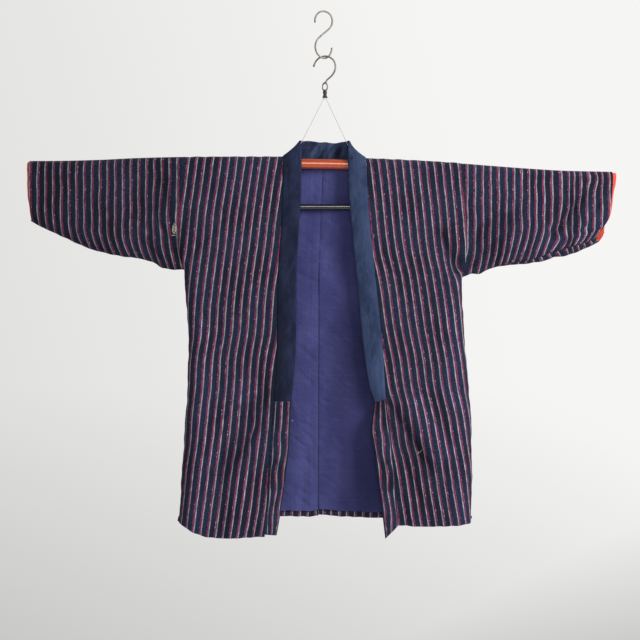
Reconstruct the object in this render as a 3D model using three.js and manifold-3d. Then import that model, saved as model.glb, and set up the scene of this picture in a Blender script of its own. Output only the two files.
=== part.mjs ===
// A lined, striped hanten jacket hung flat on a lacquered kimono pole.
// Millimetres, +Z up. The front faces -Y, and the wearer's right side is at -X.
// The origin is where the S hook at the top rests on whatever holds it up.
// The garment's heights are given as a drop below the shoulder line, and its
// widths as a distance out from the middle.
import * as THREE from "three";
import { mergeVertices } from "three/addons/utils/BufferGeometryUtils.js";
import Module from "manifold-3d";

// ---- Driving dimensions ----
const SHOULDER_Z = -304; // the top of the shoulder fold beside the neck
const CLOTH = 2.2; // striped cotton with its thin wadding
const LINING = 1.2;
const SEAM_GAP = 0.3;
const REST_GAP = 0.6; // between the cloth and the pole that carries it
const POLE_RADIUS = 10.5;
const BAR_RADIUS = 5;
const HEM_TURN = 8; // the striped cloth that is turned up inside the hem
const HEM_DROP = 780; // nominal, before the hem's own curve
const HEM_CURVE_FROM = 600; // below this drop the rows bend to meet the hem
const EDGE_ROUND = 24; // how far in from a closed edge the two layers part
const OVER_COLLAR_END = 512;
const COLLAR_THICKNESS = 4.4;
const CUFF_BAND = 44; // the red sleeve lining that is built inside each cuff
const GARMENT_X = 3.4; // the garment's middle hangs a little to one side of the hook's line

const OUTSIDE = CLOTH / 2;
const INSIDE = CLOTH / 2;
const LINED_INSIDE = CLOTH / 2 + SEAM_GAP + LINING; // one wall for both layers
const FOLD_RADIUS = POLE_RADIUS + REST_GAP + LINED_INSIDE;

// The shoulder line bows with the pole: how far it falls below the neck.
const SHOULDER_LINE = [
  { x: -640, drop: 9.6 },
  { x: -572, drop: 9.4 },
  { x: -478, drop: 7.2 },
  { x: -400, drop: 3.4 },
  { x: -300, drop: 1 },
  { x: -180, drop: 0.2 },
  { x: -90, drop: 0.2 },
  { x: 0, drop: 1.2 },
  { x: 90, drop: 3.8 },
  { x: 180, drop: 7.6 },
  { x: 260, drop: 12.4 },
  { x: 341, drop: 19 },
  { x: 425, drop: 25.4 },
  { x: 507, drop: 30.2 },
  { x: 640, drop: 33 },
];

// The seam down the middle of the back wanders to the wearer's right.
const BACK_SEAM = [
  { drop: 0, x: -3 },
  { drop: 149, x: -10.5 },
  { drop: 258, x: -13.6 },
  { drop: 740, x: -15 },
];

// Half the depth between the layers, by drop.
const FRONT_DEPTH = [
  { drop: 0, depth: FOLD_RADIUS },
  { drop: 60, depth: 14.2 },
  { drop: 250, depth: 16.5 },
  { drop: 500, depth: 18.5 },
  { drop: 800, depth: 20 },
];
const BACK_DEPTH = [
  { drop: 0, depth: FOLD_RADIUS },
  { drop: 60, depth: 14 },
  { drop: 400, depth: 15 },
  { drop: 800, depth: 16 },
];

// The wearer's right half, at -X.
const RIGHT = {
  name: "right",
  sign: -1,
  armpit: 236,
  neckShift: 0,
  armhole: [
    { drop: 0, out: 312 },
    { drop: 90, out: 314 },
    { drop: 193, out: 308 },
    { drop: 236, out: 296 },
  ],
  sideSeam: [
    { drop: 236, out: 296 },
    { drop: 262, out: 296 },
    { drop: 370, out: 288 },
    { drop: 468, out: 289.5 },
    { drop: 558, out: 295 },
    { drop: 708, out: 304.5 },
    { drop: 790, out: 309 },
  ],
  underarm: [
    { out: 296, drop: 236 },
    { out: 316, drop: 236 },
    { out: 341, drop: 232 },
    { out: 360, drop: 221 },
    { out: 395, drop: 212 },
    { out: 430, drop: 207 },
    { out: 478, drop: 197 },
    { out: 521, drop: 180 },
    { out: 569, drop: 158 },
    { out: 625, drop: 130 },
  ],
  cuff: [
    { drop: 5, front: 621, back: 622 },
    { drop: 60, front: 620.5, back: 622 },
    { drop: 132, front: 616.5, back: 619 },
  ],
  cuffLining: [
    { drop: 20, proud: 2.6 },
    { drop: 100, proud: 1.2 },
  ],
  frontHem: [
    { out: 100, drop: 791 },
    { out: 140, drop: 795 },
    { out: 200, drop: 798 },
    { out: 243, drop: 796 },
    { out: 273, drop: 787 },
    { out: 290, drop: 777 },
    { out: 310, drop: 765 },
  ],
  backHem: [
    { out: 0, drop: 753 },
    { out: 40, drop: 757 },
    { out: 200, drop: 758 },
    { out: 310, drop: 765 },
  ],
  frontEdge: [
    { drop: 0, out: 90.5 },
    { drop: 55, out: 90.5 },
    { drop: 157, out: 93.7 },
    { drop: 258, out: 100.5 },
    { drop: 407, out: 102.5 },
    { drop: 512, out: 109.4 },
    { drop: 594, out: 115.5 },
    { drop: 670, out: 120.8 },
    { drop: 800, out: 128 },
  ],
  // The collar's free edge: turn is how far it stands behind the seam edge.
  freeEdge: [
    { drop: 0, out: 50, turn: 0 },
    { drop: 92, out: 51.9, turn: 1 },
    { drop: 157, out: 56.5, turn: 4 },
    { drop: 258, out: 60.7, turn: 6 },
    { drop: 407, out: 62.8, turn: 6 },
    { drop: 512, out: 71.8, turn: 8 },
    { drop: 596, out: 76, turn: 8 },
    { drop: 670, out: 85, turn: 12 },
    { drop: 757, out: 98.2, turn: 15 },
    { drop: 800, out: 107, turn: 16 },
  ],
  tailEnd: { seam: 790, free: 794 },
  folds: [
    { face: -1, fromOut: 331, fromDrop: 44, toOut: 362, toDrop: 115, height: -4, width: 17 },
    { face: -1, fromOut: 366, fromDrop: 100, toOut: 362, toDrop: 214, height: -3, width: 14 },
    { face: -1, fromOut: 432, fromDrop: 25, toOut: 412, toDrop: 186, height: 3, width: 24 },
    { face: -1, fromOut: 318, fromDrop: 205, toOut: 286, toDrop: 110, height: -4, width: 16 },
    { face: -1, fromOut: 123, fromDrop: 483, toOut: 223, toDrop: 672, height: -5, width: 22 },
    { face: -1, fromOut: 160, fromDrop: 470, toOut: 250, toDrop: 640, height: 4, width: 26 },
    { face: -1, fromOut: 255, fromDrop: 300, toOut: 262, toDrop: 800, height: 4, width: 26 },
    { face: -1, fromOut: 165, fromDrop: 640, toOut: 172, toDrop: 820, height: 4, width: 20 },
    { face: 1, fromOut: 290, fromDrop: 225, toOut: 190, toDrop: 120, height: -4, width: 22 },
    { face: 1, fromOut: 220, fromDrop: 330, toOut: 238, toDrop: 800, height: 5, width: 30 },
    { face: 1, fromOut: 90, fromDrop: 430, toOut: 96, toDrop: 800, height: 4, width: 28 },
    { face: 1, fromOut: 340, fromDrop: 60, toOut: 372, toDrop: 205, height: -4, width: 18 },
    { face: 1, fromOut: 470, fromDrop: 30, toOut: 452, toDrop: 190, height: 3, width: 26 },
  ],
};

// The wearer's left half, at +X.
const LEFT = {
  name: "left",
  sign: 1,
  armpit: 252,
  neckShift: -3.5,
  armhole: [
    { drop: 0, out: 298 },
    { drop: 80, out: 301 },
    { drop: 150, out: 302.5 },
    { drop: 225, out: 297 },
    { drop: 252, out: 286 },
  ],
  sideSeam: [
    { drop: 252, out: 286 },
    { drop: 334, out: 289 },
    { drop: 439, out: 296.7 },
    { drop: 558, out: 306 },
    { drop: 689, out: 307.6 },
    { drop: 790, out: 304 },
  ],
  underarm: [
    { out: 286, drop: 252 },
    { out: 304, drop: 252 },
    { out: 333, drop: 244 },
    { out: 358, drop: 232 },
    { out: 408, drop: 227 },
    { out: 445, drop: 221 },
    { out: 479, drop: 213 },
    { out: 545, drop: 192 },
    { out: 590, drop: 171 },
    { out: 625, drop: 158 },
  ],
  cuff: [
    { drop: 28, front: 604, back: 606 },
    { drop: 95, front: 600.5, back: 603.5 },
    { drop: 130, front: 592.5, back: 598 },
    { drop: 150, front: 586, back: 592 },
    { drop: 185, front: 573, back: 582 },
  ],
  cuffLining: [
    { drop: 35, proud: 6.5 },
    { drop: 58, proud: 5 },
    { drop: 75, proud: 2 },
    { drop: 150, proud: 2 },
    { drop: 180, proud: 4 },
  ],
  frontHem: [
    { out: 120, drop: 774 },
    { out: 150, drop: 771 },
    { out: 220, drop: 774 },
    { out: 310, drop: 768 },
  ],
  backHem: [
    { out: 0, drop: 753 },
    { out: 40, drop: 758 },
    { out: 200, drop: 762 },
    { out: 310, drop: 768 },
  ],
  frontEdge: [
    { drop: 0, out: 86 },
    { drop: 55, out: 88 },
    { drop: 147, out: 94 },
    { drop: 258, out: 105.4 },
    { drop: 352, out: 115.5 },
    { drop: 445, out: 123 },
    { drop: 512, out: 127 },
    { drop: 594, out: 137.5 },
    { drop: 657, out: 143.5 },
    { drop: 780, out: 150.5 },
  ],
  freeEdge: [
    { drop: 0, out: 47, turn: 0 },
    { drop: 60, out: 48, turn: 0 },
    { drop: 104, out: 51, turn: 2 },
    { drop: 200, out: 59.6, turn: 5 },
    { drop: 258, out: 66, turn: 7 },
    { drop: 390, out: 78, turn: 9 },
    { drop: 483, out: 93.5, turn: 14 },
    { drop: 512, out: 103, turn: 15 },
    { drop: 565, out: 100.5, turn: -4 },
    { drop: 657, out: 111, turn: -8 },
    { drop: 780, out: 127, turn: -12 },
  ],
  tailEnd: { seam: 772, free: 797 },
  folds: [
    { face: -1, fromOut: 287, fromDrop: 242, toOut: 366, toDrop: 122, height: -5, width: 18 },
    { face: -1, fromOut: 408, fromDrop: 100, toOut: 341, toDrop: 220, height: -4, width: 15 },
    { face: -1, fromOut: 541, fromDrop: 90, toOut: 467, toDrop: 170, height: -4, width: 14 },
    { face: -1, fromOut: 570, fromDrop: 120, toOut: 520, toDrop: 185, height: 3, width: 14 },
    { face: -1, fromOut: 460, fromDrop: 40, toOut: 436, toDrop: 190, height: 3, width: 24 },
    { face: -1, fromOut: 277, fromDrop: 240, toOut: 231, toDrop: 150, height: -4, width: 16 },
    { face: -1, fromOut: 135, fromDrop: 520, toOut: 215, toDrop: 670, height: -6, width: 22 },
    { face: -1, fromOut: 170, fromDrop: 500, toOut: 245, toDrop: 640, height: 5, width: 26 },
    { face: -1, fromOut: 258, fromDrop: 330, toOut: 272, toDrop: 800, height: 4, width: 28 },
    { face: 1, fromOut: 282, fromDrop: 240, toOut: 180, toDrop: 130, height: -4, width: 22 },
    { face: 1, fromOut: 205, fromDrop: 350, toOut: 226, toDrop: 800, height: 5, width: 30 },
    { face: 1, fromOut: 78, fromDrop: 480, toOut: 84, toDrop: 800, height: 4, width: 26 },
    { face: 1, fromOut: 330, fromDrop: 70, toOut: 365, toDrop: 215, height: -4, width: 18 },
    { face: 1, fromOut: 480, fromDrop: 50, toOut: 470, toDrop: 190, height: 3, width: 24 },
  ],
};

// The collar's free edge round the neck, one row for each seam station: where
// the seam is on the shoulder fold (degrees, 90 at the front and -90 at the
// back) or how far along the straight back of the neck it is, and the rim.
const NECK_RIM = [
  { angle: 90, out: 50, y: -15.4, rise: -9 },
  { angle: 67.5, out: 50, y: -15.2, rise: 4 },
  { angle: 45, out: 50.5, y: -14, rise: 15 },
  { angle: 22.5, out: 51.5, y: -12, rise: 25 },
  { angle: 0, out: 52, y: -8, rise: 32 },
  { angle: -22.5, out: 52, y: -1.5, rise: 34.5 },
  { angle: -45, out: 50.5, y: 6, rise: 34.5 },
  { angle: -67.5, out: 46, y: 12, rise: 34 },
  { along: 0.72, out: 36, y: 15.5, rise: 34 },
  { along: 0.46, out: 24, y: 17.4, rise: 33.8 },
  { along: 0.22, out: 12, y: 18.4, rise: 33.4 },
  { along: 0, out: 0, y: 18.8, rise: 33.2 },
];
const NECK_CORNER_POWER = 0.5; // how square the back of the neck opening is

// ---- Small tools ----
const clamp01 = (t) => Math.min(1, Math.max(0, t));
const smooth = (t) => clamp01(t) ** 2 * (3 - 2 * clamp01(t));
const mix = THREE.MathUtils.lerp;

// The value of one column of a table at a place along another, on a smooth
// curve through the rows that never overshoots them.
function read(table, key, at, column) {
  const last = table.length - 1;
  if (at <= table[0][key]) return table[0][column];
  if (at >= table[last][key]) return table[last][column];
  const i = table.findIndex((row) => row[key] > at) - 1;
  const step = (n) => table[n + 1][key] - table[n][key];
  const slope = (n) => (table[n + 1][column] - table[n][column]) / step(n);
  const tangent = (n) => {
    if (n === 0 || n === last) return slope(Math.min(n, last - 1));
    const before = slope(n - 1);
    const after = slope(n);
    return before * after <= 0 ? 0 : (2 * before * after) / (before + after);
  };
  const t = (at - table[i][key]) / step(i);
  return (
    (1 + 2 * t) * (1 - t) ** 2 * table[i][column] +
    t * (1 - t) ** 2 * step(i) * tangent(i) +
    t * t * (3 - 2 * t) * table[i + 1][column] +
    t * t * (t - 1) * step(i) * tangent(i + 1)
  );
}

// How open two layers are at a distance in from the edge that joins them.
const parted = (fromEdge) =>
  fromEdge >= EDGE_ROUND ? 1 : Math.sqrt(1 - (1 - Math.max(0, fromEdge) / EDGE_ROUND) ** 2);

const shoulderDrop = (side, out) => read(SHOULDER_LINE, "x", side.sign * out, "drop");
const armholeOut = (side, drop) => read(side.armhole, "drop", drop, "out");
const outerOut = (side, drop) =>
  drop < side.armpit ? armholeOut(side, drop) : read(side.sideSeam, "drop", drop, "out");

// Distance to the nearest closed edge: the side seam or the underarm seam.
function fromClosedEdge(side, out, drop) {
  if (drop >= side.armpit) return outerOut(side, drop) - out;
  if (out > armholeOut(side, drop)) return read(side.underarm, "out", out, "drop") - drop;
  return Math.hypot(Math.max(0, armholeOut(side, drop) - out), side.armpit - drop);
}

// The sum of the soft folds at a place on one face, -1 the front and 1 the back.
function foldHeight(side, face, out, drop) {
  let sum = 0;
  for (const fold of side.folds) {
    if (fold.face !== face) continue;
    const alongOut = fold.toOut - fold.fromOut;
    const alongDrop = fold.toDrop - fold.fromDrop;
    const length = Math.hypot(alongOut, alongDrop);
    const dOut = out - fold.fromOut;
    const dDrop = drop - fold.fromDrop;
    const t = (dOut * alongOut + dDrop * alongDrop) / length ** 2;
    const across = (dOut * alongDrop - dDrop * alongOut) / length;
    const swell = smooth(t / 0.25 + 0.5) * smooth((1 - t) / 0.25 + 0.5);
    sum += fold.height * swell * Math.exp(-((across / fold.width) ** 2));
  }
  return sum;
}

// How far a layer stands from the mid plane, signed: negative for the front.
function layerY(side, face, out, drop, fromEdge = fromClosedEdge(side, out, drop)) {
  const below = drop - shoulderDrop(side, out);
  const body = read(face < 0 ? FRONT_DEPTH : BACK_DEPTH, "drop", below, "depth");
  const sleeve = FOLD_RADIUS + 0.8 * smooth(below / 60);
  const depth = mix(body, sleeve, smooth((out - armholeOut(side, drop) + 20) / 80));
  const open = parted(fromEdge);
  const fade = open ** 2 * smooth((below - FOLD_RADIUS) / 40);
  return face * (depth * open + fade * foldHeight(side, face, out, drop));
}

const at = (side, out, y, drop) =>
  new THREE.Vector3(GARMENT_X + side.sign * out, y, SHOULDER_Z - drop);

// A closed solid from a grid of points: a wall between two distances from them,
// outer on the side that faces out and inner on the other. ring joins each row's
// end to its start. beyond gives the point past a row's last one, where the
// surface goes on in another layer. square names an axis that a rim keeps clear
// of, so that its end stands square to its neighbour's. sign is the half's side.
function wall(grid, outer, inner, { sign = -1, ring, beyond, square = () => null } = {}) {
  const rows = grid.length;
  const columns = grid[0].length;
  const point = (i, j) => {
    if (ring) return grid[i][(j + columns) % columns];
    if (j === columns && beyond) return beyond(i) ?? grid[i][columns - 1];
    return grid[i][THREE.MathUtils.clamp(j, 0, columns - 1)];
  };
  const row = (i) => THREE.MathUtils.clamp(i, 0, rows - 1);
  const positions = [];
  for (const face of [1, -1])
    for (let i = 0; i < rows; i++)
      for (let j = 0; j < columns; j++) {
        const down = point(row(i + 1), j).clone().sub(point(row(i - 1), j));
        const across = point(i, j + 1).clone().sub(point(i, j - 1));
        const normal = down.cross(across);
        if (square(i, j)) normal[square(i, j)] = 0;
        const reach = -sign * (face > 0 ? outer(i, j) : -inner(i, j));
        positions.push(...grid[i][j].clone().addScaledVector(normal.normalize(), reach).toArray());
      }
  const index = [];
  const quad = (a, b, c, d) => index.push(a, b, c, a, c, d);
  const id = (face, i, j) => face * rows * columns + i * columns + (j % columns);
  const spans = ring ? columns : columns - 1;
  for (let i = 0; i < rows - 1; i++)
    for (let j = 0; j < spans; j++) {
      quad(id(0, i, j), id(0, i + 1, j), id(0, i + 1, j + 1), id(0, i, j + 1));
      quad(id(1, i, j), id(1, i, j + 1), id(1, i + 1, j + 1), id(1, i + 1, j));
    }
  for (let j = 0; j < spans; j++) {
    quad(id(0, 0, j), id(0, 0, j + 1), id(1, 0, j + 1), id(1, 0, j));
    quad(id(0, rows - 1, j), id(1, rows - 1, j), id(1, rows - 1, j + 1), id(0, rows - 1, j + 1));
  }
  if (!ring)
    for (let i = 0; i < rows - 1; i++) {
      const end = columns - 1;
      quad(id(0, i, 0), id(1, i, 0), id(1, i + 1, 0), id(0, i + 1, 0));
      quad(id(0, i, end), id(0, i + 1, end), id(1, i + 1, end), id(1, i, end));
    }
  return solidGeometry(positions, index);
}

// Turns the faces round if they came out pointing in.
function solidGeometry(positions, index) {
  let volume = 0;
  const corner = (n) => new THREE.Vector3().fromArray(positions, 3 * index[n]);
  for (let n = 0; n < index.length; n += 3)
    volume += corner(n).dot(corner(n + 1).cross(corner(n + 2)));
  if (volume < 0)
    for (let n = 0; n < index.length; n += 3)
      [index[n + 1], index[n + 2]] = [index[n + 2], index[n + 1]];
  const geometry = new THREE.BufferGeometry();
  geometry.setAttribute("position", new THREE.Float32BufferAttribute(positions, 3));
  geometry.setIndex(index);
  geometry.computeVertexNormals();
  return geometry;
}

// ---- The body: each half is one length of cloth, front to back over the shoulder ----
const FOLD_ANGLES = [90, 67.5, 45, 22.5, 0, -22.5, -45, -67.5, -90];
const ARMHOLE_SHARES = [0.14, 0.32, 0.53, 0.77, 1]; // rows down the flat of the armhole
const UNDERARM_STEPS = [16, 7, 2]; // the last ones, above the underarm seam
const BELOW_ARMPIT = [0, 8, 24];
const FROM_OUTER_EDGE = [28, 16, 8, 2.5, 0]; // the last columns, close where the edge rounds
const INNER_COLUMNS = 8;
const FRONT_ROWS = [316, 354, 394, 434, 474, 512, 550, 590, 630, 670, 710, 745];
const BACK_ROWS = [330, 390, 450, 510, 570, 625, 670, 715, 745];

// The drop of every row, from the shoulder fold down to the hem.
function rowDrops(side, rows) {
  const flatEnd = side.armpit - EDGE_ROUND;
  return [
    ...ARMHOLE_SHARES.map((share) => mix(FOLD_RADIUS, flatEnd, share)),
    ...UNDERARM_STEPS.map((step) => side.armpit - step),
    ...BELOW_ARMPIT.map((step) => side.armpit + step),
    ...rows,
    HEM_DROP - HEM_TURN - 1,
    HEM_DROP - HEM_TURN,
    HEM_DROP,
  ];
}

// A row's real drop at a place across it: bent above to the shoulder and below to the hem.
function bentDrop(side, hem, out, drop) {
  const flatEnd = side.armpit - EDGE_ROUND;
  if (drop < flatEnd)
    return drop + (shoulderDrop(side, out) * (flatEnd - drop)) / (flatEnd - FOLD_RADIUS);
  if (drop <= HEM_CURVE_FROM) return drop;
  const share = (drop - HEM_CURVE_FROM) / (HEM_DROP - HEM_CURVE_FROM);
  return mix(HEM_CURVE_FROM, read(hem, "out", out, "drop"), share);
}

// Places across a row, from its inner edge out to the side.
function across(inner, outer) {
  const first = outer - FROM_OUTER_EDGE[0];
  const even = Array.from({ length: INNER_COLUMNS }, (_, n) => mix(inner, first, n / INNER_COLUMNS));
  return [...even, ...FROM_OUTER_EDGE.map((step) => outer - step)];
}

// Just short of the middle of the back, where the two halves are sewn together.
const backSeamOut = (side, drop) =>
  side.sign * read(BACK_SEAM, "drop", drop, "x") + SEAM_GAP / 2;

function bodyRow(side, face, nominal, inner) {
  const hem = face < 0 ? side.frontHem : side.backHem;
  const outer = outerOut(side, nominal);
  const closed = nominal >= side.armpit;
  return across(inner, outer).map((out, n, all) => {
    const drop = bentDrop(side, hem, out, nominal);
    const isRim = n === all.length - 1;
    // The rim is at the side seam, or square to the sleeve.
    if (isRim && closed) return at(side, out - OUTSIDE - SEAM_GAP, (face * SEAM_GAP) / 2, drop);
    return at(side, isRim ? out - SEAM_GAP : out, layerY(side, face, out, drop), drop);
  });
}

function foldRow(side, angle) {
  const turn = THREE.MathUtils.degToRad(angle);
  const edge = side.frontEdge[0].out;
  const inner = angle >= 0 ? edge : edge * Math.cos(turn) ** NECK_CORNER_POWER;
  const outer = armholeOut(side, 0);
  return across(angle === -90 ? backSeamOut(side, 0) : inner, outer).map((out, n, all) => {
    const drop = shoulderDrop(side, out) + FOLD_RADIUS * (1 - Math.cos(turn));
    const place = n === all.length - 1 ? out - SEAM_GAP : out;
    return at(side, place, -FOLD_RADIUS * Math.sin(turn), drop);
  });
}

// Rows from the front hem, up over the shoulder and down to the back hem, with
// what each one is, so that the collar and the lining can follow them.
function bodyRows(side) {
  const front = rowDrops(side, FRONT_ROWS).reverse();
  const back = rowDrops(side, BACK_ROWS);
  return [
    ...front.map((drop) => ({
      face: -1,
      drop,
      points: bodyRow(side, -1, drop, read(side.frontEdge, "drop", drop, "out")),
    })),
    ...FOLD_ANGLES.map((angle) => ({ face: 0, angle, points: foldRow(side, angle) })),
    ...back.map((drop) => ({
      face: 1,
      drop,
      points: bodyRow(side, 1, drop, backSeamOut(side, drop)),
    })),
  ];
}

function bodyGeometry(side, rows) {
  const isTurn = (row) => row.drop >= HEM_DROP - HEM_TURN;
  const inside = rows.map((row) => {
    const single = row.face > 0 && !isTurn(row);
    return single || (row.face === 0 && row.angle < -60) ? INSIDE : LINED_INSIDE;
  });
  const grid = rows.map((row) => row.points);
  const rim = grid[0].length - 1;
  const closed = rows.map((row) => row.face !== 0 && row.drop >= side.armpit);
  // Below the armpit the surface goes on round the side seam into the other layer.
  const beyond = (i) => {
    const before = grid[i][rim - 1];
    return closed[i] ? new THREE.Vector3(before.x, -before.y, before.z) : null;
  };
  const square = (i, j) => (j === rim && !closed[i] ? "x" : null);
  return wall(grid, () => OUTSIDE, (i) => inside[i], { sign: side.sign, beyond, square });
}

// ---- The back lining: the back layer's own points, moved in ----
const UNDER = INSIDE + SEAM_GAP;
const LINING_COLUMNS = 11; // it stops short of the closed side
function liningGeometry(side, rows) {
  const back = rows.filter((row) => row.angle === -90 || row.face > 0);
  const grid = back
    .filter((row) => row.face === 0 || row.drop < HEM_DROP - HEM_TURN)
    .map((row) => row.points.slice(0, LINING_COLUMNS));
  // It ends a little above the turned hem.
  const last = grid.length - 1;
  grid[last] = grid[last].map((point, j) => point.clone().lerp(grid[last - 1][j], 0.06));
  return wall(grid, () => -UNDER, () => UNDER + LINING, { sign: side.sign });
}

// ---- The sleeves: each is one width of cloth, folded at the top and sewn below ----
const SLEEVE_SHARES = [0, 0.045, 0.1, 0.17, 0.26, 0.37, 0.48, 0.59, 0.7, 0.79];
const CUFF_STEPS = [CUFF_BAND, CUFF_BAND - 2, 16, 0]; // rings back from the cuff's end

const cuffOut = (side, face, drop) => read(side.cuff, "drop", drop, face < 0 ? "front" : "back");

// One closed ring of a sleeve. place(drop, face) gives how far out it is.
function sleeveRing(side, nominal, place) {
  const top = shoulderDrop(side, nominal);
  const bottom = read(side.underarm, "out", nominal, "drop");
  const bend = [67.5, 45, 22.5, 0].map((angle) => THREE.MathUtils.degToRad(angle));
  const layer = (face) => {
    const point = (y, drop) => at(side, place(drop, face), y, drop);
    const flat = (drop) =>
      point(layerY(side, face, place(drop, face), drop, bottom - drop), drop);
    return [
      ...bend.map((turn) =>
        point(face * FOLD_RADIUS * Math.cos(turn), top + FOLD_RADIUS * (1 - Math.sin(turn))),
      ),
      ...ARMHOLE_SHARES.map((share) => flat(mix(top + FOLD_RADIUS, bottom - EDGE_ROUND, share))),
      ...UNDERARM_STEPS.map((step) => flat(bottom - step)),
    ];
  };
  return [
    at(side, place(top, -1), 0, top),
    ...layer(-1),
    at(side, place(bottom, -1), 0, bottom),
    ...layer(1).reverse(),
  ];
}

function sleeveRings(side) {
  const start = armholeOut(side, 120);
  const end = cuffOut(side, -1, 60);
  const cuffShares = CUFF_STEPS.map((step) => 1 - step / (end - start));
  return [...SLEEVE_SHARES, ...cuffShares].map((share) =>
    sleeveRing(side, mix(start, end, share), (drop, face) =>
      mix(armholeOut(side, drop) + SEAM_GAP, cuffOut(side, face, drop), share),
    ),
  );
}

function sleeveGeometry(side) {
  const grid = sleeveRings(side);
  const lined = grid.length - CUFF_STEPS.length;
  const inside = (i) => (i <= lined ? LINED_INSIDE : INSIDE);
  const square = (i) => (i === 0 ? "x" : null);
  return wall(grid, () => OUTSIDE, inside, { sign: side.sign, ring: true, square });
}

// The red sleeve lining, made from the sleeve's last rings, stands out of the cuff.
function cuffGeometry(side) {
  const grid = sleeveRings(side).slice(1 - CUFF_STEPS.length);
  const [before, last] = grid.slice(-2);
  grid[0] = grid[0].map((point, j) => point.clone().lerp(grid[1][j], 0.05));
  grid.push(
    last.map((point, j) => {
      const proud = read(side.cuffLining, "drop", SHOULDER_Z - point.z, "proud");
      const out = new THREE.Vector3(side.sign, 0, (point.z - before[j].z) / 16);
      return point.clone().addScaledVector(out, proud);
    }),
  );
  return wall(grid, () => -UNDER, () => UNDER + LINING, { sign: side.sign, ring: true });
}

// ---- The collar: a folded band whose seam edge follows the body's inner edge ----
const COLLAR_COLUMNS = [0, 0.14, 0.5, 0.86, 1];
const FRONT_CROWN = 2.5; // how far the middle of the band stands out of the straight
const NECK_CROWN = -1;

// Points across the band from the seam edge to the free edge.
function collarSection(seam, free, outward, crown) {
  return COLLAR_COLUMNS.map((t) =>
    seam.clone().lerp(free, t).addScaledVector(outward, 4 * t * (1 - t) * crown),
  );
}

// The seam point, moved off the body's edge so that the two rims are apart.
const COLLAR_GAP = 1; // its rim meets the body's at an angle
const offSeam = (seam, free, gap) =>
  seam.clone().addScaledVector(free.clone().sub(seam).normalize(), gap);

function frontSection(side, seam, drop) {
  const free = at(
    side,
    read(side.freeEdge, "drop", drop, "out"),
    seam.y + read(side.freeEdge, "drop", drop, "turn"),
    SHOULDER_Z - seam.z,
  );
  const outward = new THREE.Vector3(0, -1, 0);
  return collarSection(offSeam(seam, free, COLLAR_GAP), free, outward, FRONT_CROWN);
}

function neckSections(side, rows) {
  const fold = rows.filter((row) => row.face === 0);
  const corner = fold[fold.length - 2].points[0];
  const middle = fold[fold.length - 1].points[0];
  return NECK_RIM.map((rim) => {
    const seam =
      rim.angle === undefined
        ? middle.clone().lerp(corner, rim.along)
        : fold.find((row) => row.angle === rim.angle).points[0].clone();
    const out = rim.out + side.neckShift * smooth(rim.out / 45);
    const free = at(side, out, rim.y, -rim.rise);
    if (rim.along === 0) seam.x = free.x;
    const outward = new THREE.Vector3(side.sign * out, rim.y, 0).normalize();
    return collarSection(offSeam(seam, free, 1.8 * COLLAR_GAP), free, outward, NECK_CROWN);
  });
}

function overCollarHalf(side, rows) {
  const front = rows.filter((row) => row.face < 0 && row.drop <= OVER_COLLAR_END);
  return [
    ...front.map((row) => frontSection(side, row.points[0], row.drop)),
    ...neckSections(side, rows),
  ];
}

const COLLAR_PLUMP = [0.25, 0.46, 0.5, 0.48, 0.36]; // the half thickness across it
const collarReach = (i, j) => COLLAR_PLUMP[j] * COLLAR_THICKNESS;

function overCollarGeometry(rightRows, leftRows) {
  const right = overCollarHalf(RIGHT, rightRows);
  const left = overCollarHalf(LEFT, leftRows).reverse().slice(1);
  const grid = [...right, ...left];
  const square = (i) => (i === 0 || i === grid.length - 1 ? "z" : null);
  return wall(grid, collarReach, collarReach, { square });
}

// Below the over-collar the striped collar goes on down to the hem, where its
// end slants from the seam edge to a point at the free edge.
const TAIL_START = OVER_COLLAR_END + COLLAR_GAP;
function collarTailGeometry(side, rows) {
  const front = rows.filter((row) => row.face < 0 && row.drop >= OVER_COLLAR_END).reverse();
  const grid = front.map((row) => {
    const share = (row.drop - OVER_COLLAR_END) / (HEM_DROP - OVER_COLLAR_END);
    const section = frontSection(side, row.points[0], row.drop);
    section.forEach((point, j) => {
      const end = mix(side.tailEnd.seam, side.tailEnd.free, COLLAR_COLUMNS[j]);
      point.z = SHOULDER_Z - mix(TAIL_START, end, share);
    });
    return section;
  });
  const reach = (i, j) => 0.9 * collarReach(i, j);
  return wall(grid, reach, reach, { square: (i) => (i === 0 ? "z" : null) });
}

// ---- The hanger: pole, lower bar, cords, bead, eye and hook ----
const POLE_FROM = -598;
const POLE_TO = 582;
const POLE_STEPS = 22;
const BAR_HALF = 210;
const BAR_DROP = 104;
const CORD_RADIUS = 0.6;
const CORD_OUT = 70; // where the cords meet the pole, out from the middle
const EYE_X = 2.2; // the eye and the bead hang a little off the hooks' own line
const BEAD_FOOT_Z = -180;
const EYE_Z = -157;
const EYE_WIDE = 5.6;
const EYE_TALL = 8.2;
const WIRE = 1.8; // the radius of the hook's wire
const HOOK_TURN = -23; // degrees about Z, so that the two hooks pass each other
const S_WIRE = 1.8;
const S_TURN = 23;

const polygon = (radius, sides) =>
  new THREE.Shape(
    Array.from({ length: sides }, (_, n) => {
      const turn = (2 * Math.PI * n) / sides;
      return new THREE.Vector2(radius * Math.cos(turn), radius * Math.sin(turn));
    }),
  );

function tube(points, radius, sides, steps) {
  const extrudePath = new THREE.CatmullRomCurve3(points, false, "centripetal");
  return new THREE.ExtrudeGeometry(polygon(radius, sides), { steps, extrudePath });
}

const poleZ = (x) =>
  SHOULDER_Z - read(SHOULDER_LINE, "x", x - GARMENT_X, "drop") - FOLD_RADIUS;

function poleGeometry() {
  const points = Array.from({ length: POLE_STEPS + 1 }, (_, n) => {
    const x = mix(POLE_FROM, POLE_TO, n / POLE_STEPS);
    return new THREE.Vector3(x, 0, poleZ(x));
  });
  return tube(points, POLE_RADIUS, 16, POLE_STEPS);
}

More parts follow.
